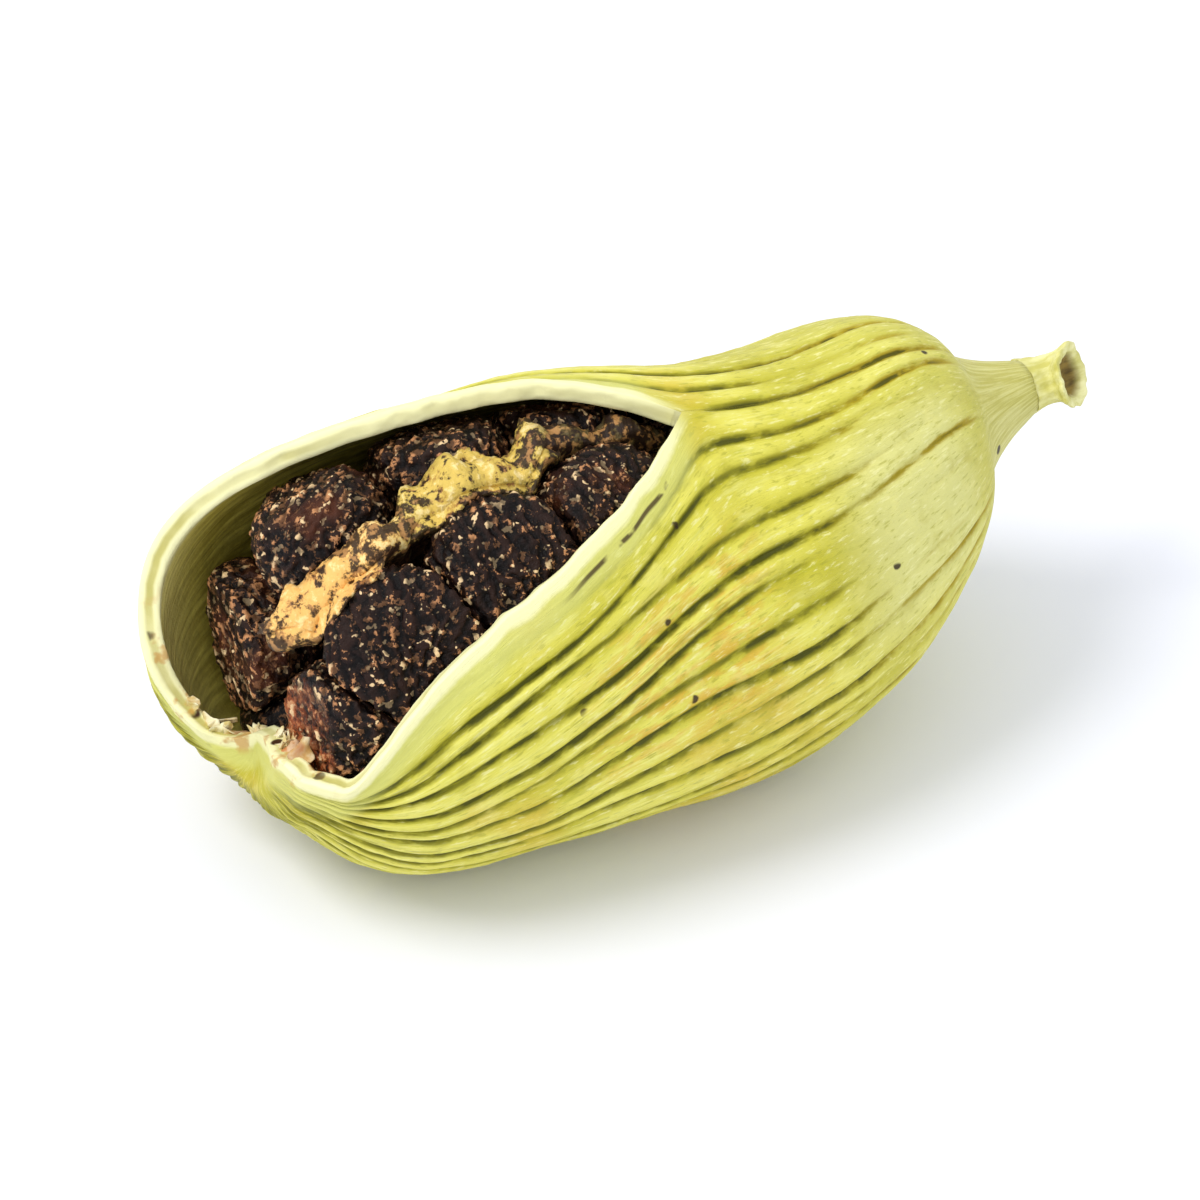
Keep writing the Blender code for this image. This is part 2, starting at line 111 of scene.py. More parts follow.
class Curve:
    """A smooth curve through knots that doesn't overshoot them."""

    def __init__(self, xs, ys, last_slope=None):
        xs, ys = np.asarray(xs, float), np.asarray(ys, float)
        steps = np.diff(ys) / np.diff(xs)
        slopes = np.zeros(len(xs))
        slopes[0], slopes[-1] = steps[0], steps[-1]
        for i in range(1, len(xs) - 1):
            a, b = steps[i - 1], steps[i]
            if a * b > 0.0:
                wa = 2.0 * (xs[i + 1] - xs[i]) + (xs[i] - xs[i - 1])
                wb = (xs[i + 1] - xs[i]) + 2.0 * (xs[i] - xs[i - 1])
                slopes[i] = (wa + wb) / (wa / a + wb / b)
        if last_slope is not None:
            slopes[-1] = last_slope
        self.xs, self.ys, self.ms = xs, ys, slopes

    def __call__(self, x):
        xs, ys, ms = self.xs, self.ys, self.ms
        x = np.clip(x, xs[0], xs[-1])
        i = np.clip(np.searchsorted(xs, x, side="right") - 1, 0, len(xs) - 2)
        h = xs[i + 1] - xs[i]
        u = (x - xs[i]) / h
        return ((2 * u ** 3 - 3 * u ** 2 + 1) * ys[i] + (u ** 3 - 2 * u ** 2 + u) * h * ms[i]
                + (3 * u ** 2 - 2 * u ** 3) * ys[i + 1] + (u ** 3 - u ** 2) * h * ms[i + 1])


_along = np.concatenate([[0.0], np.cumsum(np.hypot(*np.diff(np.array(PROFILE), axis=0).T))])
PROFILE_LENGTH = float(_along[-1])
profile_t = Curve(_along, [p[0] for p in PROFILE], 0.0)
profile_r = Curve(_along, [p[1] for p in PROFILE])
SPLIT_START = SPLIT[0][0]
near_lip = Curve([p[0] for p in SPLIT], [p[1] for p in SPLIT])
far_lip = Curve([p[0] for p in SPLIT], [p[2] for p in SPLIT])


def ease(low, high, x):
    u = np.clip((x - low) / (high - low), 0.0, 1.0)
    return u * u * (3.0 - 2.0 * u)


def wander(x, seed, count=5, low=0.4, high=3.0):
    """A smooth line that wanders between about -1 and 1, the same each time for one seed."""
    source = np.random.RandomState(seed)
    total = 0.0
    for _ in range(count):
        f, p, a = source.uniform(low, high), source.uniform(0.0, 2.0 * math.pi), source.uniform(0.5, 1.0)
        total = total + a * np.sin(f * x + p)
    return total / (0.75 * count ** 0.5 * 1.4)


def centre_line(t):
    sag = BELLY_SAG * np.exp(-((t - BELLY_AT) / BELLY_SPREAD) ** 2) - 0.17
    return -0.69 * sag, -0.73 * sag - LEAN * (t - LEAN_LEVEL_AT)


def lips(v):
    """Angles of the two lips. Their edges are a little uneven."""
    v = np.maximum(v, SPLIT_START)
    uneven = ease(SPLIT_START + 0.3, SPLIT_START + 1.5, v) * (1.0 - ease(20.4, 21.6, v)) / np.maximum(profile_r(v), 1.0)
    return (np.radians(near_lip(v)) + 0.035 * wander(1.9 * v, 21, 6, 0.8, 4.0) * uneven,
            np.radians(far_lip(v)) + 0.045 * wander(1.9 * v, 22, 6, 0.8, 4.0) * uneven)


LIP_V = np.linspace(0.0, PROFILE_LENGTH, 700)
LIP_BLUR = np.array([0.0, 0.35, 0.7, 1.1, 1.6, 2.2, 3.0])


def lip_table(values):
    """The angles of a lip along the pod, smoothed over longer and longer stretches."""
    step = LIP_V[1] - LIP_V[0]
    out = [values]
    for blur in LIP_BLUR[1:]:
        reach = int(3.0 * blur / step) + 1
        weights = np.exp(-0.5 * (np.arange(-reach, reach + 1) * step / blur) ** 2)
        padded = np.pad(values, reach, mode="edge")
        out.append(np.convolve(padded, weights / weights.sum(), mode="valid"))
    return np.array(out)


NEAR_TABLE, FAR_TABLE = (lip_table(side) for side in lips(LIP_V))


def look_up(table, v, blur):
    a = np.clip(np.interp(blur, LIP_BLUR, np.arange(len(LIP_BLUR))), 0, len(LIP_BLUR) - 1.001)
    low = a.astype(int)
    share = a - low
    place = np.clip(v / PROFILE_LENGTH * (len(LIP_V) - 1), 0, len(LIP_V) - 1.001)
    first = place.astype(int)
    u = place - first
    rows = [table[n, first] * (1 - u) + table[n, first + 1] * u for n in (low, low + 1)]
    return rows[0] * (1 - share) + rows[1] * share


def flow_angle(v, s):
    """Angle of the line that runs along the pod at a share s of the way from the near lip to the far one.

    The lines beside the lips follow them, and those further away bend more gently.
    """
    blur = np.minimum(0.55 * np.minimum(s, 1.0 - s) * 28.0, 3.0)
    near, far = look_up(NEAR_TABLE, v, blur), look_up(FAR_TABLE, v, blur)
    return near - s * (2.0 * math.pi - (far - near))


def straight_angle(v, s):
    near, far = lips(v)
    return near - s * (2.0 * math.pi - (far - near))


def lip_edge(v, angle):
    """Distance from the lips of the split, over the husk."""
    near, far = lips(v)
    return np.maximum(np.minimum(near - angle, angle - (far - 2.0 * math.pi)), 0.0) * profile_r(v)


def lobe(angle, centre, spread):
    turn = (np.degrees(angle) - centre + 180.0) % 360.0 - 180.0
    return np.exp(-((turn / spread) ** 2))


def swell(v, angle):
    t = profile_t(v)
    tip = 1.0 - ease(20.4, 22.2, v)
    out = CORNERS * profile_r(v) * np.cos(3.0 * (angle - math.radians(210.0)))
    out = out + NEAR_BELLY * lobe(angle, -52.0, 48.0) * ease(3.5, 7.0, t) * (1.0 - ease(18.0, 20.2, t)) * tip
    out = out - FAR_HOLLOW * lobe(angle, 128.0, 42.0) * ease(7.5, 10.5, t) * (1.0 - ease(13.5, 16.5, t))
    out = out + FAR_BULGE * lobe(angle, 140.0, 48.0) * ease(15.0, 18.6, t) * tip
    return out


def husk_offset(v, angle):
    opened = ease(SPLIT_START, SPLIT_START + 2.5, v) * (1.0 - ease(19.6, 21.6, v))
    return LIP_FLARE * opened * np.exp(-((lip_edge(v, angle) / LIP_BAND) ** 2)) + swell(v, angle)


def husk_point(v, angle, inset=0.0, ridge=0.0):
    step = 0.02
    low, high = np.maximum(v - step, 0.0), np.minimum(v + step, PROFILE_LENGTH)
    dt = profile_t(high) - profile_t(low)
    dr = profile_r(high) - profile_r(low)
    size = np.hypot(dt, dr)
    depth = inset - ridge - husk_offset(v, angle)
    t = profile_t(v) + depth * dr / size
    r = np.maximum(profile_r(v) - depth * dt / size, 0.0)
    y, z = centre_line(t)
    y, z = y - r * np.cos(angle), z + r * np.sin(angle)
    tip = ease(TIP_FROM, 23.2, v)
    return np.stack([t + FAR_END * ease(15.5, 20.2, t) * ease(0.0, 3.2, y) + TIP_OUT * tip, y, z - TIP_DOWN * tip], -1)


def world(points, lowest=None):
    """From pod coordinates in millimetres to the row frame in metres."""
    points = np.asarray(points, float)
    z = points[..., 2] + AXIS_HEIGHT
    if lowest is not None:
        # a soft stop, so that the flat spot has no hard rim
        z = np.where(z < lowest + 0.08, lowest + 0.08 * np.exp((z - lowest - 0.08) / 0.08), z)
    return np.stack([(STALK_END_X - points[..., 0]) * MM, (points[..., 1] + AXIS_Y) * MM, z * MM], -1)


def speckle(points, scale, octaves=3):
    """Fractal noise at each point, about -1 to 1."""
    return np.array([noise.fractal(Vector(p), 1.0, 2.0, octaves) for p in points * scale])


# ---------------------------------------------------------------- meshes

def mesh_object(name, points, faces, materials, face_materials=None, values=None, smooth=True):
    mesh = bpy.data.meshes.new(name)
    mesh.from_pydata([tuple(p) for p in points], [], [tuple(f) for f in faces])
    for made in materials:
        mesh.materials.append(made)
    if face_materials is not None:
        mesh.polygons.foreach_set("material_index", np.asarray(face_materials, np.int32))
    mesh.polygons.foreach_set("use_smooth", np.full(len(mesh.polygons), smooth, bool))
    for key, numbers in (values or {}).items():
        layer = mesh.attributes.new(key, "FLOAT", "POINT")
        layer.data.foreach_set("value", np.asarray(numbers, np.float32))
    mesh.update()
    thing = bpy.data.objects.new(name, mesh)
    bpy.context.scene.collection.objects.link(thing)
    return thing


RIB_STOPS = np.array([0.0, 0.035, 0.08, 0.145, 0.25, 0.40, 0.60, 0.75, 0.855, 0.92, 0.965])


def rib_lines(v):
    """How far each groove strays from its place, in ribs, and how deep it is, for every row of the mesh."""
    source = np.random.RandomState(19)
    stray, depth = np.zeros((RIBS + 1, len(v))), np.zeros((RIBS + 1, len(v)))
    ends = ease(1.0, 5.0, v) * (1.0 - ease(20.8, 22.6, v))
    for k in range(RIBS + 1):
        a, b = source.uniform(0.0, 2.0 * math.pi, 2)
        f, g = source.uniform(0.22, 0.42), source.uniform(0.6, 1.1)
        if 0 < k < RIBS:
            stray[k] = (0.17 * np.sin(f * v + a) + 0.09 * np.sin(g * v + b)) * (0.25 + 0.75 * ends)
        c, d, e = source.uniform(0.0, 2.0 * math.pi, 3)
        strong = source.uniform(0.62, 1.0)
        waves = 0.16 * np.sin(0.55 * v + c) + 0.12 * np.sin(1.4 * v + d) + 0.08 * np.sin(3.1 * v + e)
        # towards the stalk only a few grooves go on, and those on the shoulder are the deepest
        s = k / RIBS
        goes_on = (k % 3 == 1) or k in (0, RIBS)
        starts = source.uniform(5.0, 8.5)
        shoulder = 1.0 if (s < 0.125 or s > 0.86) else 0.45
        early = (0.85 * shoulder if goes_on else 0.10)
        if k in (8, 9, 11):
            early = 0.60
        depth[k] = (early + (strong - early) * ease(starts, starts + 3.5, v)) + waves
        depth[k] *= ease(1.6, 4.2, v) * (1.0 - 0.45 * ease(20.3, 22.0, v))
    # the smooth strip along the near lip, after the split has begun
    depth[0] *= 1.0 - ease(SPLIT_START - 1.5, SPLIT_START, v)
    depth[RIBS] *= 1.0 - ease(SPLIT_START - 1.5, SPLIT_START, v)
    depth[1] *= 1.0 - 0.75 * ease(SPLIT_START, SPLIT_START + 3.0, v)
    depth[RIBS - 1] *= 1.0 - 0.5 * ease(SPLIT_START, SPLIT_START + 3.0, v)
    return stray, np.clip(depth, 0.0, 1.15)


def make_husk(skin, lining):
    rows_closed, rows_open, rows_tip = 62, 78, 34
    v = np.concatenate([
        np.linspace(0.0, SPLIT_START, rows_closed, endpoint=False),
        np.linspace(SPLIT_START, 19.6, rows_open, endpoint=False),
        np.linspace(19.6, PROFILE_LENGTH - 0.22, rows_tip),
    ])
    first_open = rows_closed + 1
    per_rib = len(RIB_STOPS)
    columns, inner_columns = RIBS * per_rib, 52
    points, faces, kinds = [], [], []
    store = {key: [] for key in ("rib", "groove", "lip", "along", "inside", "turn")}

    def add(coordinates, **values):
        start = len(points)
        coordinates = np.asarray(coordinates).reshape(-1, 3)
        points.extend(coordinates)
        for key in store:
            store[key].extend(np.broadcast_to(np.asarray(values[key], float).ravel(), (len(coordinates),)))
        return start

    # outer skin
    stray, depth = rib_lines(v)
    share = np.tile(RIB_STOPS, RIBS)
    rib_number = np.repeat(np.arange(RIBS), per_rib)
    share, rib_number = np.append(share, 1.0), np.append(rib_number, RIBS - 1)
    left, right = stray[rib_number].T, stray[rib_number + 1].T
    place = (rib_number + left) * (1.0 - share) + (rib_number + 1 + right) * share
    S = place / RIBS
    V = np.broadcast_to(v[:, None], S.shape)
    A = flow_angle(V, S)
    A[:, 0], A[:, -1] = straight_angle(v, np.zeros_like(v)), straight_angle(v, np.ones_like(v))
    near, far = lips(V)
    spacing = profile_r(V) * (2.0 * math.pi - (far - near)) / RIBS * (1.0 + right - left)
    from_left, from_right = share * spacing, (1.0 - share) * spacing
    deep_left, deep_right = depth[rib_number].T, depth[rib_number + 1].T
    width = 0.088
    grooves = deep_left * np.exp(-((from_left / width) ** 2)) + deep_right * np.exp(-((from_right / width) ** 2))
    # dark sets how much shade is painted into the grooves (the groove attribute); round_top rounds the ridges and sets
    # the painted highlight on their tops (the rib attribute)
    dark = deep_left * np.exp(-((from_left / 0.092) ** 2)) + deep_right * np.exp(-((from_right / 0.092) ** 2))
    round_top = np.sin(math.pi * share) * 0.5 * (deep_left + deep_right)
    # a fine line on some of the ridges
    source = np.random.RandomState(33)
    fine_line = np.zeros_like(S)
    for k in range(RIBS):
        middle, strength, start, long = source.uniform(0.35, 0.65), source.uniform(0.15, 0.70), source.uniform(7.0, 19.0), source.uniform(1.5, 4.5)
        here = rib_number == k
        fine_line[:, here] = (strength * np.exp(-(((V[:, here] - start) / long) ** 2))
                              * np.exp(-(((share[here] - middle) * spacing[:, here] / 0.07) ** 2)))
    edge = lip_edge(V, A)
    edge = np.hypot(edge, np.maximum(SPLIT_START - V, 0.0))
    at_edge = ease(0.05, 0.55, edge)
    scale = ease(0.8, 5.0, V) * (1.0 - ease(21.0, 22.8, V)) * at_edge
    height = (-RIB_DEPTH * grooves + 0.035 * (round_top - 0.5) - 0.03 * fine_line) * scale
    broad = 0.05 * wander(0.5 * V + 2.0 * np.sin(A), 3) * np.sin(2.0 * A + 0.8) + 0.035 * wander(0.9 * V, 5) * np.sin(5.0 * A)
    height = height + broad * ease(2.5, 5.0, V) * (1.0 - ease(19.5, 21.5, V)) * at_edge
    outer_points = husk_point(V, A, 0.0, height)
    rough = speckle(outer_points.reshape(-1, 3), 2.3, 3).reshape(V.shape)
    height = height + 0.016 * rough * ease(1.5, 4.0, V) * at_edge
    outer_points = husk_point(V, A, 0.0, height)
    outer_start = add(world(outer_points, 0.0), rib=round_top * scale, groove=np.clip((dark + 0.6 * fine_line) * scale, 0.0, 1.2),
                      lip=edge, along=V, inside=0.0, turn=place)

    # inner face
    s_in = np.linspace(0.0, 1.0, inner_columns + 1)
    v_in = np.where(v < SPLIT_START, CAVITY_START + (SPLIT_START - CAVITY_START) * v / SPLIT_START, v)
    V, S = np.meshgrid(v_in, s_in, indexing="ij")
    A = straight_angle(V, S)
    veins = 0.025 * np.sin(2.0 * math.pi * 21.0 * S + 1.5 * np.sin(0.6 * V)) * ease(0.0, 0.05, np.minimum(S, 1.0 - S))
    inner_points = husk_point(V, A, WALL, veins)
    inner_start = add(world(inner_points, FLAT_INNER_HEIGHT), rib=0.5 + veins * 15.0, groove=0.0,
                      lip=lip_edge(V, A), along=V, inside=1.0, turn=S * RIBS)

    def outer(i, j):
        return outer_start + i * (columns + 1) + (0 if (i < first_open and j == columns) else j)

    def inner(i, j):
        return inner_start + i * (inner_columns + 1) + (0 if (i < first_open and j == inner_columns) else j)

    rows = len(v)
    for i in range(rows - 1):
        for j in range(columns):
            faces.append((outer(i, j), outer(i + 1, j), outer(i + 1, j + 1), outer(i, j + 1)))
            kinds.append(0)
        for j in range(inner_columns):
            faces.append((inner(i, j), inner(i, j + 1), inner(i + 1, j + 1), inner(i + 1, j)))
            kinds.append(1)

    # the tip and the stalk end
    end = np.array([PROFILE_LENGTH])
    plain = dict(rib=0.5, groove=0.2, turn=0.5 * RIBS)
    tip_out = add(world(husk_point(end, np.zeros(1))), lip=0.0, along=PROFILE_LENGTH, inside=0.0, **plain)
    tip_in = add(world(husk_point(end, np.zeros(1), WALL)), lip=0.0, along=PROFILE_LENGTH, inside=1.0, **plain)
    start_t = PROFILE[0][0]
    stalk_out = add(world([(start_t, *centre_line(start_t))]), lip=9.0, along=0.0, inside=0.0, **plain)
    start_in = float(husk_point(np.array([CAVITY_START]), np.zeros(1), WALL)[0, 0])
    stalk_in = add(world([(start_in - 0.25, *centre_line(start_in))]), lip=9.0, along=0.0, inside=1.0, **plain)
    for j in range(columns):
        faces.append((outer(rows - 1, j), tip_out, outer(rows - 1, j + 1)))
        faces.append((outer(0, j), outer(0, j + 1), stalk_out))
        kinds += [0, 0]
    for j in range(inner_columns):
        faces.append((inner(rows - 1, j), inner(rows - 1, j + 1), tip_in))
        faces.append((inner(0, j), stalk_in, inner(0, j + 1)))
        kinds += [1, 1]

    # the edges of the split: two soft ridges, where the outer and the inner skin end, and a furrow between them
    levels = np.array([0.07, 0.18, 0.32, 0.5, 0.68, 0.82, 0.93])
    vs = v[first_open:]
    near, far = lips(vs)
    joints = {}
    for side in (0, 1):
        strips = [[outer(i, side * columns) for i in range(first_open - 1, rows)] + [tip_out]]
        for n, level in enumerate(levels):
            begins = ease(SPLIT_START, SPLIT_START + 1.0, vs) * (1.0 - ease(21.5, 22.8, vs))
            swelling = 0.10 * math.sin(math.pi * level) ** 0.6
            swelling = swelling - (0.02 + 0.055 * ease(16.5, 19.0, vs)) * math.exp(-((level - 0.5) / 0.17) ** 2)
            swelling = swelling + 0.018 * wander(vs * 3.0, 40 + side * 9 + n // 2, 6, 1.0, 6.0)
            turn = swelling * begins / np.maximum(profile_r(vs), 1.0)
            angle = far - 2.0 * math.pi - turn if side else near + turn
            rim = husk_point(vs, angle, WALL * level, 0.015 * wander(vs * 4.0, 60 + side, 6, 1.0, 6.0))
            first = add(world(rim, 0.0), rib=0.8, groove=0.0, lip=0.0, along=vs, inside=level, turn=side * RIBS)
            ends = []
            for key, a, b, along in ((("start", n), strips[0][0], inner(first_open - 1, 0), SPLIT_START),
                                     (("tip", n), tip_out, tip_in, PROFILE_LENGTH)):
                if key not in joints:
                    spot = np.asarray(points[a]) * (1.0 - level) + np.asarray(points[b]) * level
                    joints[key] = add(spot, rib=0.8, groove=0.0, lip=0.0, along=along, inside=level, turn=0.0)
                ends.append(joints[key])
            strips.append([ends[0]] + list(range(first, first + len(vs))) + [ends[1]])
        strips.append([inner(i, side * inner_columns) for i in range(first_open - 1, rows)] + [tip_in])
        for a, b in zip(strips, strips[1:]):
            for k in range(len(a) - 1):
                faces.append((a[k], b[k], b[k + 1], a[k + 1]) if side == 0 else (a[k], a[k + 1], b[k + 1], b[k]))
                kinds.append(0)
    return mesh_object("husk_shell", points, faces, [skin, lining], kinds, store)


def seed_centres():
    out = []
    for t, angle, radius in SEED_PLACES:
        y, z = centre_line(t)
        angle = math.radians(angle)
        out.append((t, y - radius * math.cos(angle), z + radius * math.sin(angle)))
    return np.array(out)


def hollow_planes():
    out, ways = [], []
    for i in range(22):
        v = 5.2 + (21.6 - 5.2) * i / 21
        dt = profile_t(v + 0.05) - profile_t(v - 0.05)
        dr = profile_r(v + 0.05) - profile_r(v - 0.05)
        size = math.hypot(dt, dr)
        for k in range(36):
            angle = 2.0 * math.pi * k / 36
            depth = WALL - swell(v, angle) + 0.5 * SEED_GAP
            t = profile_t(v) + depth * dr / size
            r = profile_r(v) - depth * dt / size
            y, z = centre_line(t)
            way = np.array([-dr, -dt * math.cos(angle), dt * math.sin(angle)])
            tip = ease(TIP_FROM, 23.2, v)
            out.append((t + TIP_OUT * tip, y - r * math.cos(angle), z + r * math.sin(angle) - TIP_DOWN * tip))
            ways.append(way / np.linalg.norm(way))
    out.append((0.0, 0.0, FLAT_INNER_HEIGHT + SEED_GAP - AXIS_HEIGHT))
    ways.append(np.array([0.0, 0.0, -1.0]))
    return np.array(out), np.array(ways)


class Seed:
    def __init__(self, index, centres, wall_points, wall_ways):
        self.index = index
        self.centre = centres[index]
        sides = []
        along_split = index < SEED_SPLIT_ROWS
        for other, place in enumerate(centres):
            if other == index:
                continue
            gap = SEED_GAP
            if along_split and other < SEED_SPLIT_ROWS and (index < 5) != (other < 5):
                gap += 0.22
            way = place - self.centre
            far = np.linalg.norm(way)
            reach = far / 2.0 - gap / 2.0
            if reach < 2.6:
                sides.append(way / far / reach)
        self.sides = np.array(sides)
        self.walls = wall_ways / ((wall_points - self.centre) * wall_ways).sum(1, keepdims=True)
        shape = 0.5 * math.sin(3.1 * index + 0.4)
        largest = SEED_MAX_RADIUS * {0: 0.93, 1: 0.87, 2: 0.91, 3: 0.94}.get(index, 1.0)
        self.size = largest * np.array([1.0 + 0.08 * shape, 1.0 - 0.07 * shape, 1.0])

    def reach(self, ways, rounding=SEED_ROUNDING, walls=True):
        total = (np.linalg.norm(ways / self.size, axis=1)) ** rounding
        if walls:
            total = total + np.maximum((ways @ self.walls.T).max(1), 0.0) ** rounding
        total = total + (np.maximum(ways @ self.sides.T, 0.0) ** rounding).sum(1)
        return total ** (-1.0 / rounding)

    def clearance(self, places):
        ways = places - self.centre
        far = np.linalg.norm(ways, axis=1)
        return far - self.reach(ways / far[:, None], walls=False)


def icosphere(level):
    import bmesh
    bm = bmesh.new()
    bmesh.ops.create_icosphere(bm, subdivisions=level, radius=1.0)
    ways = np.array([v.co[:] for v in bm.verts])
    faces = [tuple(v.index for v in f.verts) for f in bm.faces]
    bm.free()
    return ways / np.linalg.norm(ways, axis=1, keepdims=True), faces


def make_seed(seed, sphere, made_of, fine):
    ways, faces = sphere
    length = seed.reach(ways, 21.0)
    ridge = np.zeros(len(ways))
    if fine:
        surface = seed.centre + ways * length[:, None]
        offset = Vector((7.3 * seed.index, 2.1, 0.0))
        # the wrinkles run across the seed's own long axis and break up
        source = np.random.RandomState(100 + seed.index)
        axis = Vector((1.0, 0.35 * source.normal(), 0.35 * source.normal())).normalized()
        dent = np.zeros(len(ways))
        for n, p in enumerate(surface):
            q = Vector(p) + offset
            slow = noise.noise(q * 0.8)
            bend = noise.noise(q * 1.7 + Vector((3.0, 1.0, 5.0)))
            small = noise.noise(q * 5.2 + Vector((1.0, 8.0, 2.0)))
            flow = q.dot(axis) * 20.0 + 6.0 * bend + 3.0 * small + 3.0 * slow
            wave = 0.5 + 0.5 * math.sin(flow)
            break_up = noise.noise(q * 3.1 + Vector((5.0, 5.0, 1.0)))
            grain = noise.noise(q * 11.0)
            ridge[n] = min(1.0, max(0.0, wave * (0.75 + 0.8 * break_up) + 0.35 * grain + 0.15))
            dent[n] = 0.10 * min(slow, 0.0) + 0.05 * bend
        length = length + dent - 0.105 * (1.0 - ridge)
    places = seed.centre + ways * length[:, None]
    tone = np.full(len(ways), (0.70 if seed.index < 5 else 0.12) + 0.18 * math.sin(2.4 * seed.index + 1.0))
    if seed.index == 5:
        # the first seed of the near row is rusty at its end
        tone = tone + 1.1 * ease(19.35, 20.1, places[:, 0])
    return mesh_object("seed_%02d_skin" % (seed.index + 1), world(places), faces, [made_of], None, {"ridge": ridge, "tone": tone})


def membrane_middle(t):
    upper = Curve((9.5, 12.2, 15.1, 18.0, 19.9), (121.0, 119.0, 114.0, 113.0, 120.0))
    lower = Curve((9.9, 12.7, 15.35, 17.85, 19.9), (60.0, 58.0, 51.0, 37.0, 20.0))
    return np.radians((upper(t) + lower(t)) / 2.0)


def membrane_top(t):
    torn = 0.16 * np.sin(2.9 * t + 0.5) + 0.09 * np.sin(6.1 * t)
    inside = 4.02 - 0.50 * ease(15.5, 18.0, t) - 1.55 * ease(18.1, 20.3, t)
    return (inside + torn) * (0.78 + 0.22 * ease(9.9, 12.0, t))


def membrane_lump(t):
    """The two places where a lump of the dried pulp is left on the membrane."""
    return np.exp(-((t - 15.2) / 1.35) ** 2) + np.exp(-((t - 19.25) / 0.80) ** 2)


def resample(grid, rows, columns):
    """A coarse grid of numbers at more places."""
    a = np.linspace(0.0, grid.shape[0] - 1.0, rows)
    b = np.linspace(0.0, grid.shape[1] - 1.0, columns)
    by_row = np.array([Curve(np.arange(grid.shape[0]), grid[:, k])(a) for k in range(grid.shape[1])]).T
    return np.array([Curve(np.arange(grid.shape[1]), by_row[k])(b) for k in range(rows)])


def make_membrane(seeds, made_of):
    near_seeds = seeds[:SEED_SPLIT_ROWS] + seeds[10:12] + seeds[21:23]
    coarse_t = np.linspace(MEMBRANE_START, MEMBRANE_END, 41)
    shares = np.linspace(0.0, 1.0, 9)
    tries = np.arange(-0.75, 0.76, 0.03)
    room = np.zeros((len(coarse_t), len(shares)))
    shift = np.zeros_like(room)
    for i, t in enumerate(coarse_t):
        y, z = centre_line(t)
        angle = membrane_middle(t)
        out = np.array([0.0, -math.cos(angle), math.sin(angle)])
        side = np.array([0.0, math.sin(angle), math.cos(angle)])
        for k, share in enumerate(shares):
            r = MEMBRANE_FOOT + (membrane_top(t) - MEMBRANE_FOOT) * share
            places = np.array([t, y, z]) + out * r + side * tries[:, None]
            free = np.min([seed.clearance(places) for seed in near_seeds], axis=0)
            best = int(np.argmax(free - 0.01 * np.abs(tries)))
            room[i, k], shift[i, k] = free[best], tries[best]
    rows, levels = 240, 22
    room, shift = resample(room, rows, levels), resample(shift, rows, levels)
    t = np.linspace(MEMBRANE_START, MEMBRANE_END, rows)
    share = np.linspace(0.0, 1.0, levels)
    T, K = np.meshgrid(t, share, indexing="ij")
    y, z = centre_line(T)
    angle = membrane_middle(T)
    zero = np.zeros_like(T)
    out = np.stack([zero, -np.cos(angle), np.sin(angle)], -1)
    side = np.stack([zero, np.sin(angle), np.cos(angle)], -1)
    top = membrane_top(T)
    end = np.linspace(0.0, 1.0, rows)[:, None]
    taper = ease(0.0, 0.12, end) * (1.0 - ease(0.9, 1.0, end))
    r = MEMBRANE_FOOT + (top - MEMBRANE_FOOT) * K
    middle = np.stack([T, y, z], -1) + out * r[..., None] + side * shift[..., None]
    width = 0.06 + MEMBRANE_HALF_WIDTH * (0.25 + 0.75 * taper) * ease(0.45, 0.95, K)
    width = width * (0.45 + 0.45 * membrane_lump(T) + 0.10 * np.sin(4.3 * T))
    width = np.maximum(np.minimum(width, 1.0 * (room - 0.01)), 0.02)
    right = middle + side * width[..., None]
    left = middle - side * width[..., None]
    crown = []
    for share in (0.25, 0.5, 0.75):
        rise = (0.14 * taper + 0.02) * math.sin(math.pi * share)
        crown.append(right[:, -1] * (1 - share) + left[:, -1] * share + out[:, -1] * rise)
    foot = (right[:, 0] + left[:, 0]) / 2.0 - out[:, 0] * 0.03
    ring = np.concatenate([foot[:, None], right, np.stack(crown, 1), left[:, ::-1]], 1)
    around = ring.shape[1]
    flat = ring.reshape(-1, 3)
    bumps = speckle(flat, 2.6, 3) * 0.085 + speckle(flat + 9.0, 8.0, 2) * 0.045
    centre = np.repeat(ring.mean(1), around, axis=0)
    push = flat - centre
    push = push / np.maximum(np.linalg.norm(push, axis=1, keepdims=True), 1e-6)
    high = np.tile(np.concatenate([[0.0], np.linspace(0, 1, levels), [1, 1, 1], np.linspace(1, 0, levels)]), rows)
    flat = flat + push * (bumps * ease(0.5, 1.0, high))[:, None]
    faces = []
    for i in range(rows - 1):
        for k in range(around):
            n = (k + 1) % around
            faces.append((i * around + k, i * around + n, (i + 1) * around + n, (i + 1) * around + k))
    faces.append(tuple(range(around))[::-1])
    faces.append(tuple((rows - 1) * around + k for k in range(around)))
    return mesh_object("membrane_skin", world(flat), faces, [made_of], None,
                       {"along": np.repeat(t, around), "high": high, "lump": np.repeat(np.clip(membrane_lump(t), 0.0, 1.0), around)})


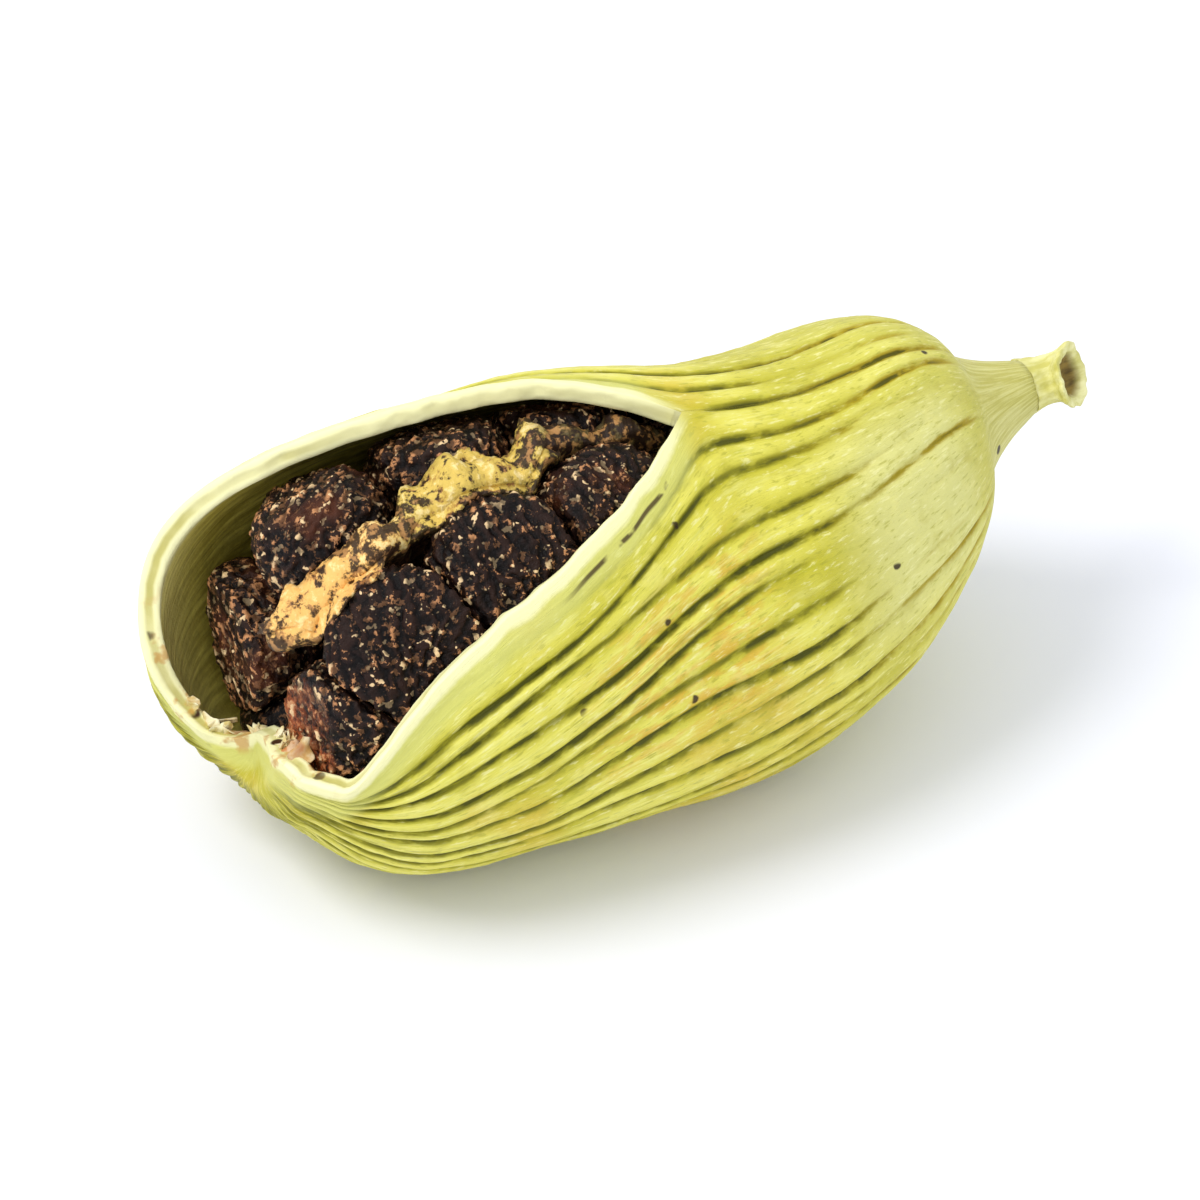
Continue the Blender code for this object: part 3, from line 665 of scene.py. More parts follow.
def make_pulp(name, seeds, start, stop, half_width, made_of):
    """A thin crumbly layer of dried pulp that is left on the membrane and clings to the seeds beside it."""
    near_seeds = seeds[:SEED_SPLIT_ROWS]
    rows, columns = 110, 45
    t = np.linspace(start, stop, rows)
    u = np.linspace(-1.0, 1.0, columns)
    T, U = np.meshgrid(t, u, indexing="ij")
    q = (2.0 * T - start - stop) / (stop - start)
    round_end = np.sqrt(np.maximum(1.0 - q ** 2, 0.0)) * 0.94 + 0.06
    ragged = 1.0 + 0.20 * wander(T * 2.6 + 3.0 * np.sign(U), 91, 6, 0.8, 3.2) * np.abs(U)
    offset = U * half_width * round_end * ragged + 0.12 * np.sin(1.3 * T)
    y, z = centre_line(T)
    angle = membrane_middle(T)
    zero = np.zeros_like(T)
    out = np.stack([zero, -np.cos(angle), np.sin(angle)], -1)
    side = np.stack([zero, np.sin(angle), np.cos(angle)], -1)
    foot = np.stack([T, y, z], -1) + side * offset[..., None]
    heights = np.linspace(2.0, 5.0, 46)
    places = (foot[:, :, None] + out[:, :, None] * heights[None, None, :, None]).reshape(-1, 3)
    free = np.min([seed.clearance(places) for seed in near_seeds], axis=0).reshape(rows, columns, len(heights))
    touched = np.where(free < 0.0, heights[None, None, :], 2.0).max(-1)
    base = np.maximum(touched, membrane_top(T) - 0.10)
    smooth = base.copy()
    for _ in range(14):
        padded = np.pad(smooth, 1, mode="edge")
        smooth = (padded[1:-1, 1:-1] * 2.0 + padded[:-2, 1:-1] + padded[2:, 1:-1] + padded[1:-1, :-2] + padded[1:-1, 2:]) / 6.0
    edge = np.maximum(1.0 - U ** 2, 0.0) * np.maximum(1.0 - q ** 2, 0.0)
    top = np.maximum(smooth, touched + 0.01)
    surface = (foot + out * top[..., None]).reshape(-1, 3)
    crumbs = (speckle(surface, 2.2, 3) * 0.11 + speckle(surface + 5.0, 7.0, 2) * 0.06).reshape(rows, columns)
    # the layer is thick in its middle and breaks up at its edge
    top = top + 0.16 * np.sqrt(edge) - 0.05 + crumbs * (0.4 + 0.6 * np.sqrt(edge))
    upper = (foot + out * top[..., None]).reshape(-1, 3)
    lower = (foot + out * (top - 0.22)[..., None]).reshape(-1, 3)
    n = rows * columns
    faces = []
    for i in range(rows - 1):
        for k in range(columns - 1):
            a, b, c, d = i * columns + k, i * columns + k + 1, (i + 1) * columns + k + 1, (i + 1) * columns + k
            faces.append((a, d, c, b))
            faces.append((n + a, n + b, n + c, n + d))
    for i in range(rows - 1):
        for k, turned in ((0, False), (columns - 1, True)):
            a, d = i * columns + k, (i + 1) * columns + k
            faces.append((a, n + a, n + d, d) if not turned else (a, d, n + d, n + a))
    for k in range(columns - 1):
        for i, turned in ((0, True), (rows - 1, False)):
            a, b = i * columns + k, i * columns + k + 1
            faces.append((a, n + a, n + b, b) if not turned else (a, b, n + b, n + a))
    lump = np.clip(1.35 * np.sqrt(edge), 0.0, 1.0).ravel()
    return mesh_object(name, world(np.concatenate([upper, lower])), faces, [made_of], None,
                       {"along": np.tile(T.ravel(), 2), "high": np.ones(2 * n), "lump": np.tile(lump, 2)})


def stalk_frame(t):
    """Middle of the stub at a distance from its cut face along its bent axis, and the way that it points there."""
    base = PROFILE[0][0] - STALK_GAP
    y, z = centre_line(base)
    middle = np.array([base, y, z])
    aside = np.array([0.0, *STALK_BEND_WAY])
    aside = aside / np.linalg.norm(aside)
    steps = 24
    for i in range(steps):
        gone = (base - t) * (i + 0.5) / steps
        turned = math.radians(STALK_BEND) * ease(0.0, base, gone)
        middle = middle + (np.array([-1.0, 0.0, 0.0]) * math.cos(turned) + aside * math.sin(turned)) * ((base - t) / steps)
    turned = math.radians(STALK_BEND) * ease(0.0, base, base - t)
    return middle, np.array([-1.0, 0.0, 0.0]) * math.cos(turned) + aside * math.sin(turned)


def make_stalk(straw):
    end = PROFILE[0][0] - STALK_GAP
    outline = np.array((
        (end, 0.0), (end, 0.60), (1.02, 0.575), (0.88, 0.55), (0.70, 0.52), (0.52, 0.51), (0.36, 0.54), (0.20, 0.61),
        (0.09, 0.675), (0.02, 0.685), (0.0, 0.64), (0.01, 0.57), (0.05, 0.50), (0.14, 0.43), (0.24, 0.34), (0.31, 0.20), (0.33, 0.0),
    ))
    along = np.linspace(0.0, len(outline) - 1.0, 120)
    ts = Curve(np.arange(len(outline)), outline[:, 0])(along)
    rs = Curve(np.arange(len(outline)), outline[:, 1])(along)
    around = 96
    angle = np.linspace(0.0, 2.0 * math.pi, around, endpoint=False)
    across = np.array([0.0, STALK_BEND_WAY[1], -STALK_BEND_WAY[0]])
    across = across / np.linalg.norm(across)
    rows = []
    for t, r in zip(ts, rs):
        middle, way = stalk_frame(t)
        aside = np.cross(way, across)
        ragged = 1.0 + 0.06 * np.sin(2.0 * angle + 0.7) + 0.04 * np.sin(5.0 * angle) + 0.03 * np.sin(13.0 * angle + 2.0 * t)
        lift = 0.035 * np.sin(3.0 * angle + 1.0) * (1.0 if t < 0.30 else 0.0) * (r / 0.69)
        rows.append(middle + (r * ragged * np.cos(angle))[:, None] * across + (r * ragged * np.sin(angle))[:, None] * aside
                    + lift[:, None] * way)
    points = np.concatenate(rows)
    points = points + (speckle(points, 5.0, 3) * 0.014)[:, None]
    # one point in place of the first and the last ring
    points = np.concatenate([points[:1], points[around:-around], points[-1:]])
    faces, last = [], len(points) - 1
    for k in range(around):
        n = (k + 1) % around
        faces.append((0, 1 + k, 1 + n))
        faces.append((last - around + k, last, last - around + n))
        for i in range(len(ts) - 3):
            faces.append((1 + i * around + k, 1 + (i + 1) * around + k, 1 + (i + 1) * around + n, 1 + i * around + n))
    core = np.repeat(ease(0.74, 0.86, along / along[-1]), around)
    core = np.concatenate([core[:1], core[around:-around], core[-1:]])
    return mesh_object("stalk_skin", world(points), faces, [straw], None, {"core": core})


def make_flaps(made_of):
    """Short torn flaps of the inner skin at the tip, where the husk tore last."""
    source = np.random.RandomState(78)
    points, faces, rusty = [], [], []
    for n in range(20):
        side = n % 2
        v = source.uniform(21.7, 23.3)
        near, far = (float(a[0]) for a in lips(np.array([v])))
        here, there = (far, near) if side else (near, far)
        other = husk_point(np.array([v]), np.array([there]), WALL * 0.5)[0]
        base = husk_point(np.array([v]), np.array([here]), WALL * source.uniform(0.55, 1.0))[0]
        across = other - base
        gap = np.linalg.norm(across)
        across = across / max(gap, 1e-6)
        way = across * source.uniform(0.2, 0.8) + np.array([-1.0, 0.0, 0.0]) * source.uniform(0.3, 1.0) \
            + np.array([0.0, 0.0, 1.0]) * source.uniform(-0.2, 0.35) + 0.18 * source.normal(size=3)
        way = way / np.linalg.norm(way)
        long = min(source.uniform(0.20, 0.55), 0.15 + 0.35 * gap)
        curl = source.normal(size=3) * 0.25 * long
        lip_way = husk_point(np.array([v + 0.1]), np.array([here]))[0] - husk_point(np.array([v - 0.1]), np.array([here]))[0]
        flat = lip_way / np.linalg.norm(lip_way) + 0.4 * source.normal(size=3)
        flat = flat - way * (flat @ way)
        flat = flat / np.linalg.norm(flat)
        thin = np.cross(way, flat)
        broad, thick = source.uniform(0.13, 0.30), source.uniform(0.025, 0.045)
        twist = source.uniform(-1.4, 1.4)
        p1, p2 = source.uniform(0.0, 6.0, 2)
        rings, around = 12, 14
        start = len(points)
        red = source.uniform(0.4, 1.0) if (side == 0 and v < 22.4) else source.uniform(0.0, 0.35)
        for i in range(rings):
            u = i / (rings - 1)
            middle = base - way * 0.06 + way * long * u + curl * u * u
            size = (1.0 - 0.70 * u ** 1.3) * (1.0 + 0.22 * math.sin(7.0 * u + p1))
            t = twist * u
            one, two = flat * math.cos(t) + thin * math.sin(t), thin * math.cos(t) - flat * math.sin(t)
            for k in range(around):
                a = 2.0 * math.pi * k / around
                crease = 0.03 * math.sin(3.0 * math.cos(a) + p2 + 4.0 * u)
                points.append(middle + one * (broad * size * math.cos(a)) + two * (thick * (0.4 + 0.6 * size) * math.sin(a) + crease))
                rusty.append(red)
        for i in range(rings - 1):
            for k in range(around):
                m = (k + 1) % around
                faces.append((start + i * around + k, start + i * around + m, start + (i + 1) * around + m, start + (i + 1) * around + k))
        faces.append(tuple(start + k for k in range(around))[::-1])
        faces.append(tuple(start + (rings - 1) * around + k for k in range(around)))
    return mesh_object("tip_flaps", world(np.array(points), 0.0), faces, [made_of], None, {"rusty": rusty})


# ---------------------------------------------------------------- materials

def new_material(name):
    made = bpy.data.materials.new(name)
    made.use_nodes = True
    nodes, links = made.node_tree.nodes, made.node_tree.links
    return made, nodes, links, nodes["Principled BSDF"]


def srgb(r, g, b):
    """A colour as a screen shows it, 0 to 255, as the shader needs it."""
    def linear(c):
        c = c / 255.0
        return c / 12.92 if c <= 0.04045 else ((c + 0.055) / 1.055) ** 2.4
    return (linear(r), linear(g), linear(b), 1.0)


class Graph:
    """Short names for the nodes that the materials below are made of."""

    def __init__(self, nodes, links):
        self.nodes, self.links = nodes, links

    def put(self, value, socket):
        if isinstance(value, (int, float)):
            socket.default_value = value
        elif isinstance(value, tuple):
            socket.default_value = value
        else:
            self.links.new(value, socket)

    def attribute(self, name):
        node = self.nodes.new("ShaderNodeAttribute")
        node.attribute_name = name
        return node.outputs["Fac"]

    def place(self):
        return self.nodes.new("ShaderNodeTexCoord").outputs["Object"]

    def stretch(self, scale, rotation=(0.0, 0.0, 0.0)):
        node = self.nodes.new("ShaderNodeMapping")
        node.inputs["Scale"].default_value = scale
        node.inputs["Rotation"].default_value = rotation
        self.links.new(self.place(), node.inputs["Vector"])
        return node.outputs["Vector"]

    def join(self, x, y, z):
        node = self.nodes.new("ShaderNodeCombineXYZ")
        for value, key in ((x, "X"), (y, "Y"), (z, "Z")):
            self.put(value, node.inputs[key])
        return node.outputs["Vector"]

    def noise(self, vector, scale, detail=3.0, rough=0.5, distortion=0.0):
        node = self.nodes.new("ShaderNodeTexNoise")
        self.links.new(vector, node.inputs["Vector"])
        node.inputs["Scale"].default_value = scale
        node.inputs["Detail"].default_value = detail
        node.inputs["Roughness"].default_value = rough
        node.inputs["Distortion"].default_value = distortion
        return node.outputs["Fac"]

    def cells(self, vector, scale, feature="F1"):
        node = self.nodes.new("ShaderNodeTexVoronoi")
        node.feature = feature
        self.links.new(vector, node.inputs["Vector"])
        node.inputs["Scale"].default_value = scale
        return node.outputs["Distance"]

    def math(self, kind, a, b=0.0, clamp=False):
        node = self.nodes.new("ShaderNodeMath")
        node.operation = kind
        node.use_clamp = clamp
        self.put(a, node.inputs[0])
        self.put(b, node.inputs[1])
        return node.outputs["Value"]

    def between(self, value, low, high, to_low=0.0, to_high=1.0):
        node = self.nodes.new("ShaderNodeMapRange")
        node.interpolation_type = "SMOOTHSTEP"
        self.put(value, node.inputs["Value"])
        node.inputs["From Min"].default_value = low
        node.inputs["From Max"].default_value = high
        node.inputs["To Min"].default_value = to_low
        node.inputs["To Max"].default_value = to_high
        return node.outputs["Result"]

    def mix(self, share, a, b, kind="MIX"):
        node = self.nodes.new("ShaderNodeMix")
        node.data_type = "RGBA"
        node.blend_type = kind
        self.put(share, node.inputs["Factor"])
        self.put(a, node.inputs[6])
        self.put(b, node.inputs[7])
        return node.outputs[2]

    def bump(self, height, strength, distance, under=None):
        node = self.nodes.new("ShaderNodeBump")
        node.inputs["Strength"].default_value = strength
        node.inputs["Distance"].default_value = distance
        self.links.new(height, node.inputs["Height"])
        if under is not None:
            self.links.new(under, node.inputs["Normal"])
        return node.outputs["Normal"]


def husk_skin():
    made, nodes, links, shader = new_material("husk_skin")
    g = Graph(nodes, links)
    rib, groove, lip = g.attribute("rib"), g.attribute("groove"), g.attribute("lip")
    along, turn, inside = g.attribute("along"), g.attribute("turn"), g.attribute("inside")
    place = g.place()
    streak = g.noise(g.join(g.math("MULTIPLY", along, 0.55), g.math("MULTIPLY", turn, 2.3), 0.0), 1.0, 4.0, 0.62)
    dash = g.noise(g.join(g.math("MULTIPLY", along, 1.5), g.math("MULTIPLY", turn, 3.1), 4.0), 1.0, 3.0, 0.55)
    fibre = g.noise(g.join(g.math("MULTIPLY", along, 1.6), g.math("MULTIPLY", turn, 17.0), 0.0), 1.0, 4.0, 0.6)
    patch = g.noise(place, 230.0, 3.0, 0.55)
    fine = g.noise(place, 2600.0, 4.0, 0.6)
    mottle = g.noise(place, 1100.0, 3.0, 0.6)

    # ridges and grooves: painted highlight on the ridge tops and painted shade in the grooves; the grooves' painted
    # shade breaks up along their length
    groove_shade = g.math("MULTIPLY", groove, g.between(dash, 0.34, 0.60, 0.42, 1.15))
    short = g.noise(g.join(g.math("MULTIPLY", along, 2.4), g.math("MULTIPLY", turn, 6.5), 9.0), 1.0, 3.0, 0.6)
    colour = g.mix(g.between(rib, 0.15, 0.85), srgb(200, 192, 50), srgb(232, 224, 94))
    colour = g.mix(g.between(streak, 0.52, 0.74, 0.0, 0.55), colour, srgb(244, 240, 140))
    colour = g.mix(g.between(streak, 0.46, 0.30, 0.0, 0.50), colour, srgb(178, 178, 34))
    # a warm tan tint in patches of the flank, and paler towards the stalk
    warm = g.math("MULTIPLY", g.between(patch, 0.50, 0.66), g.between(along, 7.5, 11.0))
    colour = g.mix(g.math("MULTIPLY", warm, 0.45), colour, srgb(222, 178, 58))
    flank = g.math("MULTIPLY", g.math("MULTIPLY", g.between(along, 9.6, 11.2), g.between(along, 15.6, 13.6)),
                   g.math("MULTIPLY", g.between(turn, 2.4, 3.8), g.between(turn, 8.4, 6.6)))
    colour = g.mix(g.math("MULTIPLY", flank, g.between(dash, 0.40, 0.62, 0.0, 0.60)), colour, srgb(222, 164, 48))
    colour = g.mix(g.between(along, 9.5, 3.5, 0.0, 0.40), colour, srgb(226, 222, 120))
    pale = g.math("MULTIPLY", g.math("MULTIPLY", g.between(along, 3.2, 4.8), g.between(along, 9.0, 6.4)),
                  g.math("MULTIPLY", g.between(turn, 1.2, 3.2), g.between(turn, 10.0, 7.6)))
    colour = g.mix(g.math("MULTIPLY", pale, 0.75), colour, srgb(232, 229, 150))
    colour = g.mix(g.between(short, 0.56, 0.68, 0.0, 0.60), colour, srgb(250, 246, 172))
    colour = g.mix(g.between(short, 0.44, 0.33, 0.0, 0.55), colour, srgb(170, 166, 44))
    colour = g.mix(g.between(mottle, 0.56, 0.72, 0.0, 0.35), colour, srgb(246, 238, 138))
    colour = g.mix(g.between(mottle, 0.44, 0.30, 0.0, 0.30), colour, srgb(178, 168, 36))
    # the colour of the painted shade in the grooves: golden towards the stalk, olive further on
    shade = g.mix(g.between(along, 10.0, 5.0), srgb(136, 132, 10), srgb(178, 156, 20))
    groove_shade = g.math("MULTIPLY", groove_shade, g.math("SUBTRACT", 1.0, g.math("MULTIPLY", pale, 0.45)))
    # painted highlight: thin bright lines along the ridge tops
    bright = g.math("MULTIPLY", g.between(rib, 0.62, 0.92), g.between(fibre, 0.44, 0.62))
    colour = g.mix(g.math("MULTIPLY", bright, 0.45), colour, srgb(252, 248, 150))
    # painted shade in the grooves, darkest in their middles
    colour = g.mix(g.between(groove_shade, 0.05, 0.50, 0.0, 0.97), colour, shade)
    colour = g.mix(g.between(groove_shade, 0.45, 0.90, 0.0, 0.88), colour, srgb(74, 76, 2))
    stalk = g.between(along, 3.6, 1.2, 0.0, 0.75)
    colour = g.mix(stalk, colour, g.mix(g.between(streak, 0.40, 0.62), srgb(206, 198, 104), srgb(238, 233, 158)))
    # the skin beside the split is smooth and pale green, and its edge is bare and cream
    after = g.between(along, 10.2, 11.4)
    edge = g.math("ADD", lip, g.math("MULTIPLY", g.math("SUBTRACT", mottle, 0.5), 0.30))
    colour = g.mix(g.math("MULTIPLY", g.between(edge, 1.15, 0.60), g.math("MULTIPLY", after, 0.70)), colour, srgb(226, 226, 128))
    colour = g.mix(g.math("MULTIPLY", g.between(edge, 0.34, 0.16), after), colour, srgb(253, 249, 188))
    colour = g.mix(g.between(inside, 0.01, 0.06), colour, srgb(254, 250, 192))
    # between the two skins the cut edge is darker and a little green
    furrow = g.math("MULTIPLY", g.between(inside, 0.20, 0.42), g.between(inside, 0.80, 0.58))
    furrow = g.math("MULTIPLY", furrow, g.between(along, 16.5, 19.0, 0.30, 1.0))
    colour = g.mix(g.math("MULTIPLY", furrow, g.between(streak, 0.40, 0.60, 0.30, 0.80)), colour, srgb(188, 178, 78))
    # a dark crack beside the near edge, not far from the split's end
    crack = g.math("MULTIPLY", g.between(lip, 0.43, 0.48), g.between(lip, 0.60, 0.53))
    crack = g.math("MULTIPLY", crack, g.math("MULTIPLY", g.between(along, 11.2, 11.8), g.between(along, 15.2, 14.2)))
    crack = g.math("MULTIPLY", crack, g.math("MULTIPLY", g.between(turn, 18.0, 17.0), g.between(mottle, 0.42, 0.50)))
    colour = g.mix(g.math("MULTIPLY", crack, 0.9), colour, srgb(66, 42, 12))
    # small dark specks
    specks = g.cells(place, 900.0)
    pick = g.noise(place, 640.0, 1.0)
    reach = g.math("ADD", specks, g.math("MULTIPLY", g.math("SUBTRACT", fine, 0.5), 0.10))
    dark = g.math("MULTIPLY", g.between(reach, 0.120, 0.085), g.between(pick, 0.555, 0.58))
    dark = g.math("MULTIPLY", dark, g.between(lip, 0.30, 0.50))
    colour = g.mix(g.math("MULTIPLY", dark, 0.95), colour, srgb(52, 36, 8))
    # the torn edge at the tip is stained in places and has dark crumbs on it
    torn = g.math("MULTIPLY", g.between(along, 20.0, 21.2), g.between(lip, 0.50, 0.18))
    stain = g.math("MULTIPLY", torn, g.between(g.noise(place, 1500.0, 3.0, 0.6), 0.52, 0.62, 0.0, 0.75))
    colour = g.mix(stain, colour, srgb(206, 150, 66))
    crumbs = g.math("MULTIPLY", g.between(g.cells(place, 1500.0), 0.27, 0.19), g.between(g.noise(place, 1000.0, 1.0), 0.50, 0.54))
    colour = g.mix(g.math("MULTIPLY", crumbs, torn), colour, srgb(64, 36, 14))
    links.new(colour, shader.inputs["Base Color"])
    height = g.math("ADD", g.math("MULTIPLY", fibre, 0.8), g.math("MULTIPLY", fine, 0.5))
    links.new(g.bump(height, 0.6, 0.00007), shader.inputs["Normal"])
    shader.inputs["Roughness"].default_value = 0.50
    shader.inputs["Specular IOR Level"].default_value = 0.30
    return made


def husk_lining():
    made, nodes, links, shader = new_material("husk_lining")
    g = Graph(nodes, links)
    lip, along, turn = g.attribute("lip"), g.attribute("along"), g.attribute("turn")
    place = g.place()
    streak = g.noise(g.join(g.math("MULTIPLY", along, 0.8), g.math("MULTIPLY", turn, 2.6), 0.0), 1.0, 4.0, 0.6)
    fine = g.noise(place, 3000.0, 3.0, 0.6)
    mottle = g.noise(place, 1000.0, 3.0, 0.6)
    colour = g.mix(g.between(streak, 0.35, 0.7), srgb(156, 138, 42), srgb(208, 192, 86))
    colour = g.mix(g.between(along, 18.6, 21.0, 0.0, 0.75), colour, srgb(228, 218, 140))
    edge = g.math("ADD", lip, g.math("MULTIPLY", g.math("SUBTRACT", mottle, 0.5), 0.35))
    colour = g.mix(g.between(edge, 0.42, 0.05), colour, srgb(250, 244, 184))
    links.new(colour, shader.inputs["Base Color"])
    links.new(g.bump(g.math("ADD", streak, fine), 0.6, 0.00006), shader.inputs["Normal"])
    shader.inputs["Roughness"].default_value = 0.50
    shader.inputs["Specular IOR Level"].default_value = 0.40
    return made


def seed_skin():
    made, nodes, links, shader = new_material("seed_skin")
    g = Graph(nodes, links)
    ridge, tone = g.attribute("ridge"), g.attribute("tone")
    place = g.place()
    grain = g.noise(place, 4200.0, 4.0, 0.68)
    dots = g.noise(place, 4600.0, 2.0, 0.5)
    patch = g.noise(place, 560.0, 3.0, 0.6)
    # painted shade and painted highlight: darker in the pits of the wrinkles, lighter on their crests
    colour = g.mix(g.between(ridge, 0.10, 0.95), srgb(7, 3, 3), srgb(42, 25, 19))
    red = g.math("ADD", patch, g.math("MULTIPLY", tone, 0.11))
    colour = g.mix(g.between(red, 0.60, 0.78, 0.0, 0.70), colour, srgb(92, 48, 28))
    rusty = g.between(tone, 0.9, 1.35)
    colour = g.mix(g.math("MULTIPLY", rusty, g.between(grain, 0.36, 0.56)), colour, srgb(206, 104, 50))
    # pale tan specks on the crests of the wrinkles, more of them on the seeds of the far row: partly the seeds' own
    # pale flecks and partly painted highlight
    likely = g.math("ADD", grain, g.math("MULTIPLY", tone, 0.045))
    crest = g.between(ridge, 0.35, 0.90, 0.20, 1.0)
    colour = g.mix(g.math("MULTIPLY", g.between(likely, 0.565, 0.615), crest), colour, srgb(196, 138, 92))
    # painted glints: the brightest small dots on the crests
    bright = g.math("ADD", dots, g.math("MULTIPLY", tone, 0.025))
    colour = g.mix(g.math("MULTIPLY", g.between(bright, 0.620, 0.655), crest), colour, srgb(238, 204, 154))
    links.new(colour, shader.inputs["Base Color"])
    links.new(g.bump(grain, 0.9, 0.00012), shader.inputs["Normal"])
    shader.inputs["Roughness"].default_value = 0.40
    shader.inputs["Specular IOR Level"].default_value = 0.15
    return made


def papery():
    made, nodes, links, shader = new_material("papery")
    g = Graph(nodes, links)
    along, high, lump = g.attribute("along"), g.attribute("high"), g.attribute("lump")
    place = g.place()
    grain = g.noise(place, 3100.0, 4.0, 0.65)
    patch = g.noise(place, 800.0, 3.0, 0.6)
    colour = g.mix(g.between(along, 17.9, 16.6), srgb(246, 192, 108), srgb(224, 192, 92))
    broken = g.math("ADD", patch, g.math("MULTIPLY", g.math("SUBTRACT", grain, 0.5), -0.9))
    colour = g.mix(g.between(broken, 0.54, 0.68, 0.0, 0.85), colour, srgb(150, 88, 40))
    colour = g.mix(g.between(grain, 0.55, 0.66, 0.0, 0.85), colour, srgb(254, 230, 160))
    # away from the two lumps it is brown and broken up
    bare = g.math("ADD", g.between(lump, 0.80, 0.10, 0.02, 0.15), g.between(high, 0.95, 0.55, 0.0, 0.12))
    speck = g.noise(place, 4400.0, 3.0, 0.6)
    under = g.mix(g.between(speck, 0.50, 0.62), srgb(38, 21, 14), srgb(176, 128, 76))
    colour = g.mix(g.between(g.math("SUBTRACT", grain, bare), 0.45, 0.36, 0.0, 0.95), colour, under)
    # towards the split's end the membrane is as dark and speckled as the seeds
    colour = g.mix(g.between(along, 13.9, 13.0, 0.0, 0.88), colour, under)
    # painted shade: darker lower down, where the membrane goes down between the seeds
    colour = g.mix(g.between(high, 0.85, 0.45, 0.0, 0.80), colour, srgb(62, 34, 20))
    links.new(colour, shader.inputs["Base Color"])
    links.new(g.bump(grain, 0.8, 0.00012), shader.inputs["Normal"])
    shader.inputs["Roughness"].default_value = 0.55
    shader.inputs["Specular IOR Level"].default_value = 0.3
    return made


def torn_skin():
    made, nodes, links, shader = new_material("torn_skin")
    g = Graph(nodes, links)
    place = g.place()
    grain = g.noise(place, 3000.0, 3.0, 0.6)
    patch = g.noise(place, 1100.0, 2.0, 0.5)
    colour = g.mix(g.between(grain, 0.35, 0.65), srgb(214, 196, 118), srgb(248, 244, 204))
    colour = g.mix(g.between(patch, 0.56, 0.68, 0.0, 0.8), colour, srgb(150, 92, 44))
    colour = g.mix(g.math("MULTIPLY", g.attribute("rusty"), g.between(grain, 0.30, 0.60, 1.0, 0.55)), colour, srgb(196, 104, 44))
    links.new(colour, shader.inputs["Base Color"])
    links.new(g.bump(grain, 0.7, 0.00008), shader.inputs["Normal"])
    shader.inputs["Roughness"].default_value = 0.6
    return made


def stalk_straw():
    made, nodes, links, shader = new_material("stalk_straw")
    g = Graph(nodes, links)
    core = g.attribute("core")
    grain = g.noise(g.stretch((900.0, 3000.0, 3000.0)), 1.0, 4.0, 0.6)
    colour = g.mix(g.between(grain, 0.35, 0.7), srgb(206, 200, 104), srgb(244, 240, 176))
    colour = g.mix(core, colour, g.mix(g.between(grain, 0.40, 0.62), srgb(92, 72, 14), srgb(150, 124, 48)))
    links.new(colour, shader.inputs["Base Color"])
    links.new(g.bump(grain, 0.6, 0.00006), shader.inputs["Normal"])
    shader.inputs["Roughness"].default_value = 0.65
    return made


# ---------------------------------------------------------------- build

root = "root"
husk = make_husk(husk_skin(), husk_lining())
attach(husk, root)
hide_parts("husk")

wall_points, wall_ways = hollow_planes()
centres = seed_centres()
seeds = [Seed(i, centres, wall_points, wall_ways) for i in range(len(centres))]
dark = seed_skin()
fine_sphere, plain_sphere = icosphere(6), icosphere(4)
for seed in seeds:
    shows = seed.index < SEED_SPLIT_ROWS and seed.index not in (4, 9)
    piece = make_seed(seed, fine_sphere if shows else plain_sphere, dark, shows)
    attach(piece, root)
    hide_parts("seed_%02d" % (seed.index + 1))

paper = papery()
strip = make_membrane(seeds, paper)
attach(strip, root)
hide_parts("membrane")

stub = make_stalk(stalk_straw())
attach(stub, root)
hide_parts("stalk_stub")

for name, start, stop, half_width in (("pulp_middle", 13.2, 17.1, 0.66), ("pulp_tip", 17.7, 20.2, 0.60)):
    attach(make_pulp(name, seeds, start, stop, half_width, paper), root)

flaps = make_flaps(torn_skin())
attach(flaps, root)

# ---------------------------------------------------------------- floor, light and camera

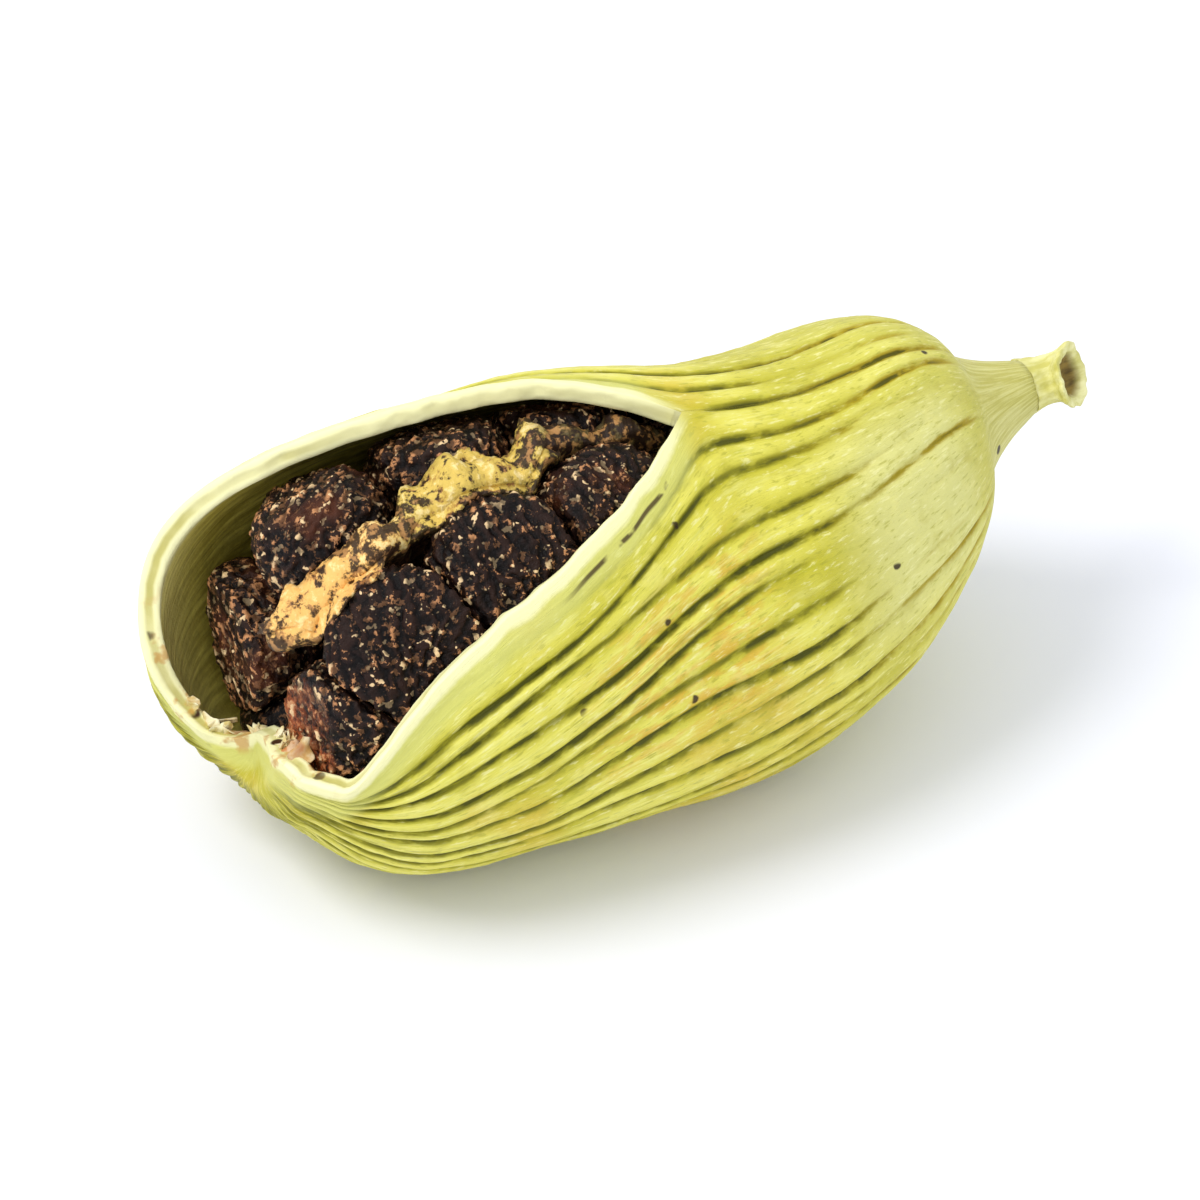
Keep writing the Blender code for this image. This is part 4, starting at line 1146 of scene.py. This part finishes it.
floor_mesh = bpy.data.meshes.new("floor")
floor_mesh.from_pydata([(-1.0, -1.0, 0.0), (1.0, -1.0, 0.0), (1.0, 1.0, 0.0), (-1.0, 1.0, 0.0)], [], [(0, 1, 2, 3)])
floor = bpy.data.objects.new("floor", floor_mesh)
bpy.context.scene.collection.objects.link(floor)
floor_white, nodes, links, shader = new_material("floor_white")
shader.inputs["Base Color"].default_value = (0.90, 0.91, 0.985, 1.0)
shader.inputs["Roughness"].default_value = 0.7
shader.inputs["Specular IOR Level"].default_value = 0.2
floor_mesh.materials.append(floor_white)

sky = bpy.data.worlds.new("sky")
bpy.context.scene.world = sky
sky.use_nodes = True
sky.node_tree.nodes["Background"].inputs["Color"].default_value = (0.94, 0.965, 1.0, 1.0)
sky.node_tree.nodes["Background"].inputs["Strength"].default_value = 0.90

azimuth, elevation = math.radians(-30.4), math.radians(38.5)
back = Vector((math.sin(azimuth) * math.cos(elevation), -math.cos(azimuth) * math.cos(elevation), math.sin(elevation)))
right = Vector((math.cos(azimuth), math.sin(azimuth), 0.0))
up = back.cross(right)


def area_light(name, place, aim, size, power, colour):
    lamp = bpy.data.lights.new(name, "AREA")
    lamp.shape = "DISK"
    lamp.size = size
    lamp.energy = power
    lamp.color = colour
    thing = bpy.data.objects.new(name, lamp)
    thing.location = place
    thing.rotation_mode = "QUATERNION"
    thing.rotation_quaternion = (aim - place).to_track_quat("-Z", "Y")
    bpy.context.scene.collection.objects.link(thing)
    return thing


middle = Vector((0.0026, 0.0005, 0.0046))
# the main light is above the camera and to the left: its soft shadow falls behind the pod and to the right
key_way = (-right * 0.52 + up * 0.56 + back * 0.62).normalized()
area_light("key", middle + key_way * 0.30, middle, 0.15, 0.43, (1.0, 0.985, 0.95))
fill_way = (right * 0.10 - up * 0.05 + back * 1.0).normalized()
area_light("fill", middle + fill_way * 0.40, middle, 0.25, 0.10, (0.98, 0.99, 1.0))

camera = bpy.data.cameras.new("camera")
camera.sensor_width = 36.0
distance = 0.170
frame_width = 0.200 / 7.768
camera.lens = 36.0 * distance / frame_width
camera.clip_start, camera.clip_end = 0.01, 5.0
eye = bpy.data.objects.new("camera", camera)
aim = middle - right * 0.001352 - up * 0.001017
eye.location = aim + back * distance
eye.rotation_mode = "QUATERNION"
eye.rotation_quaternion = (-back).to_track_quat("-Z", "Y")
bpy.context.scene.collection.objects.link(eye)
bpy.context.scene.camera = eye
bpy.context.scene.view_settings.view_transform = "Standard"
bpy.context.scene.view_settings.look = "None"
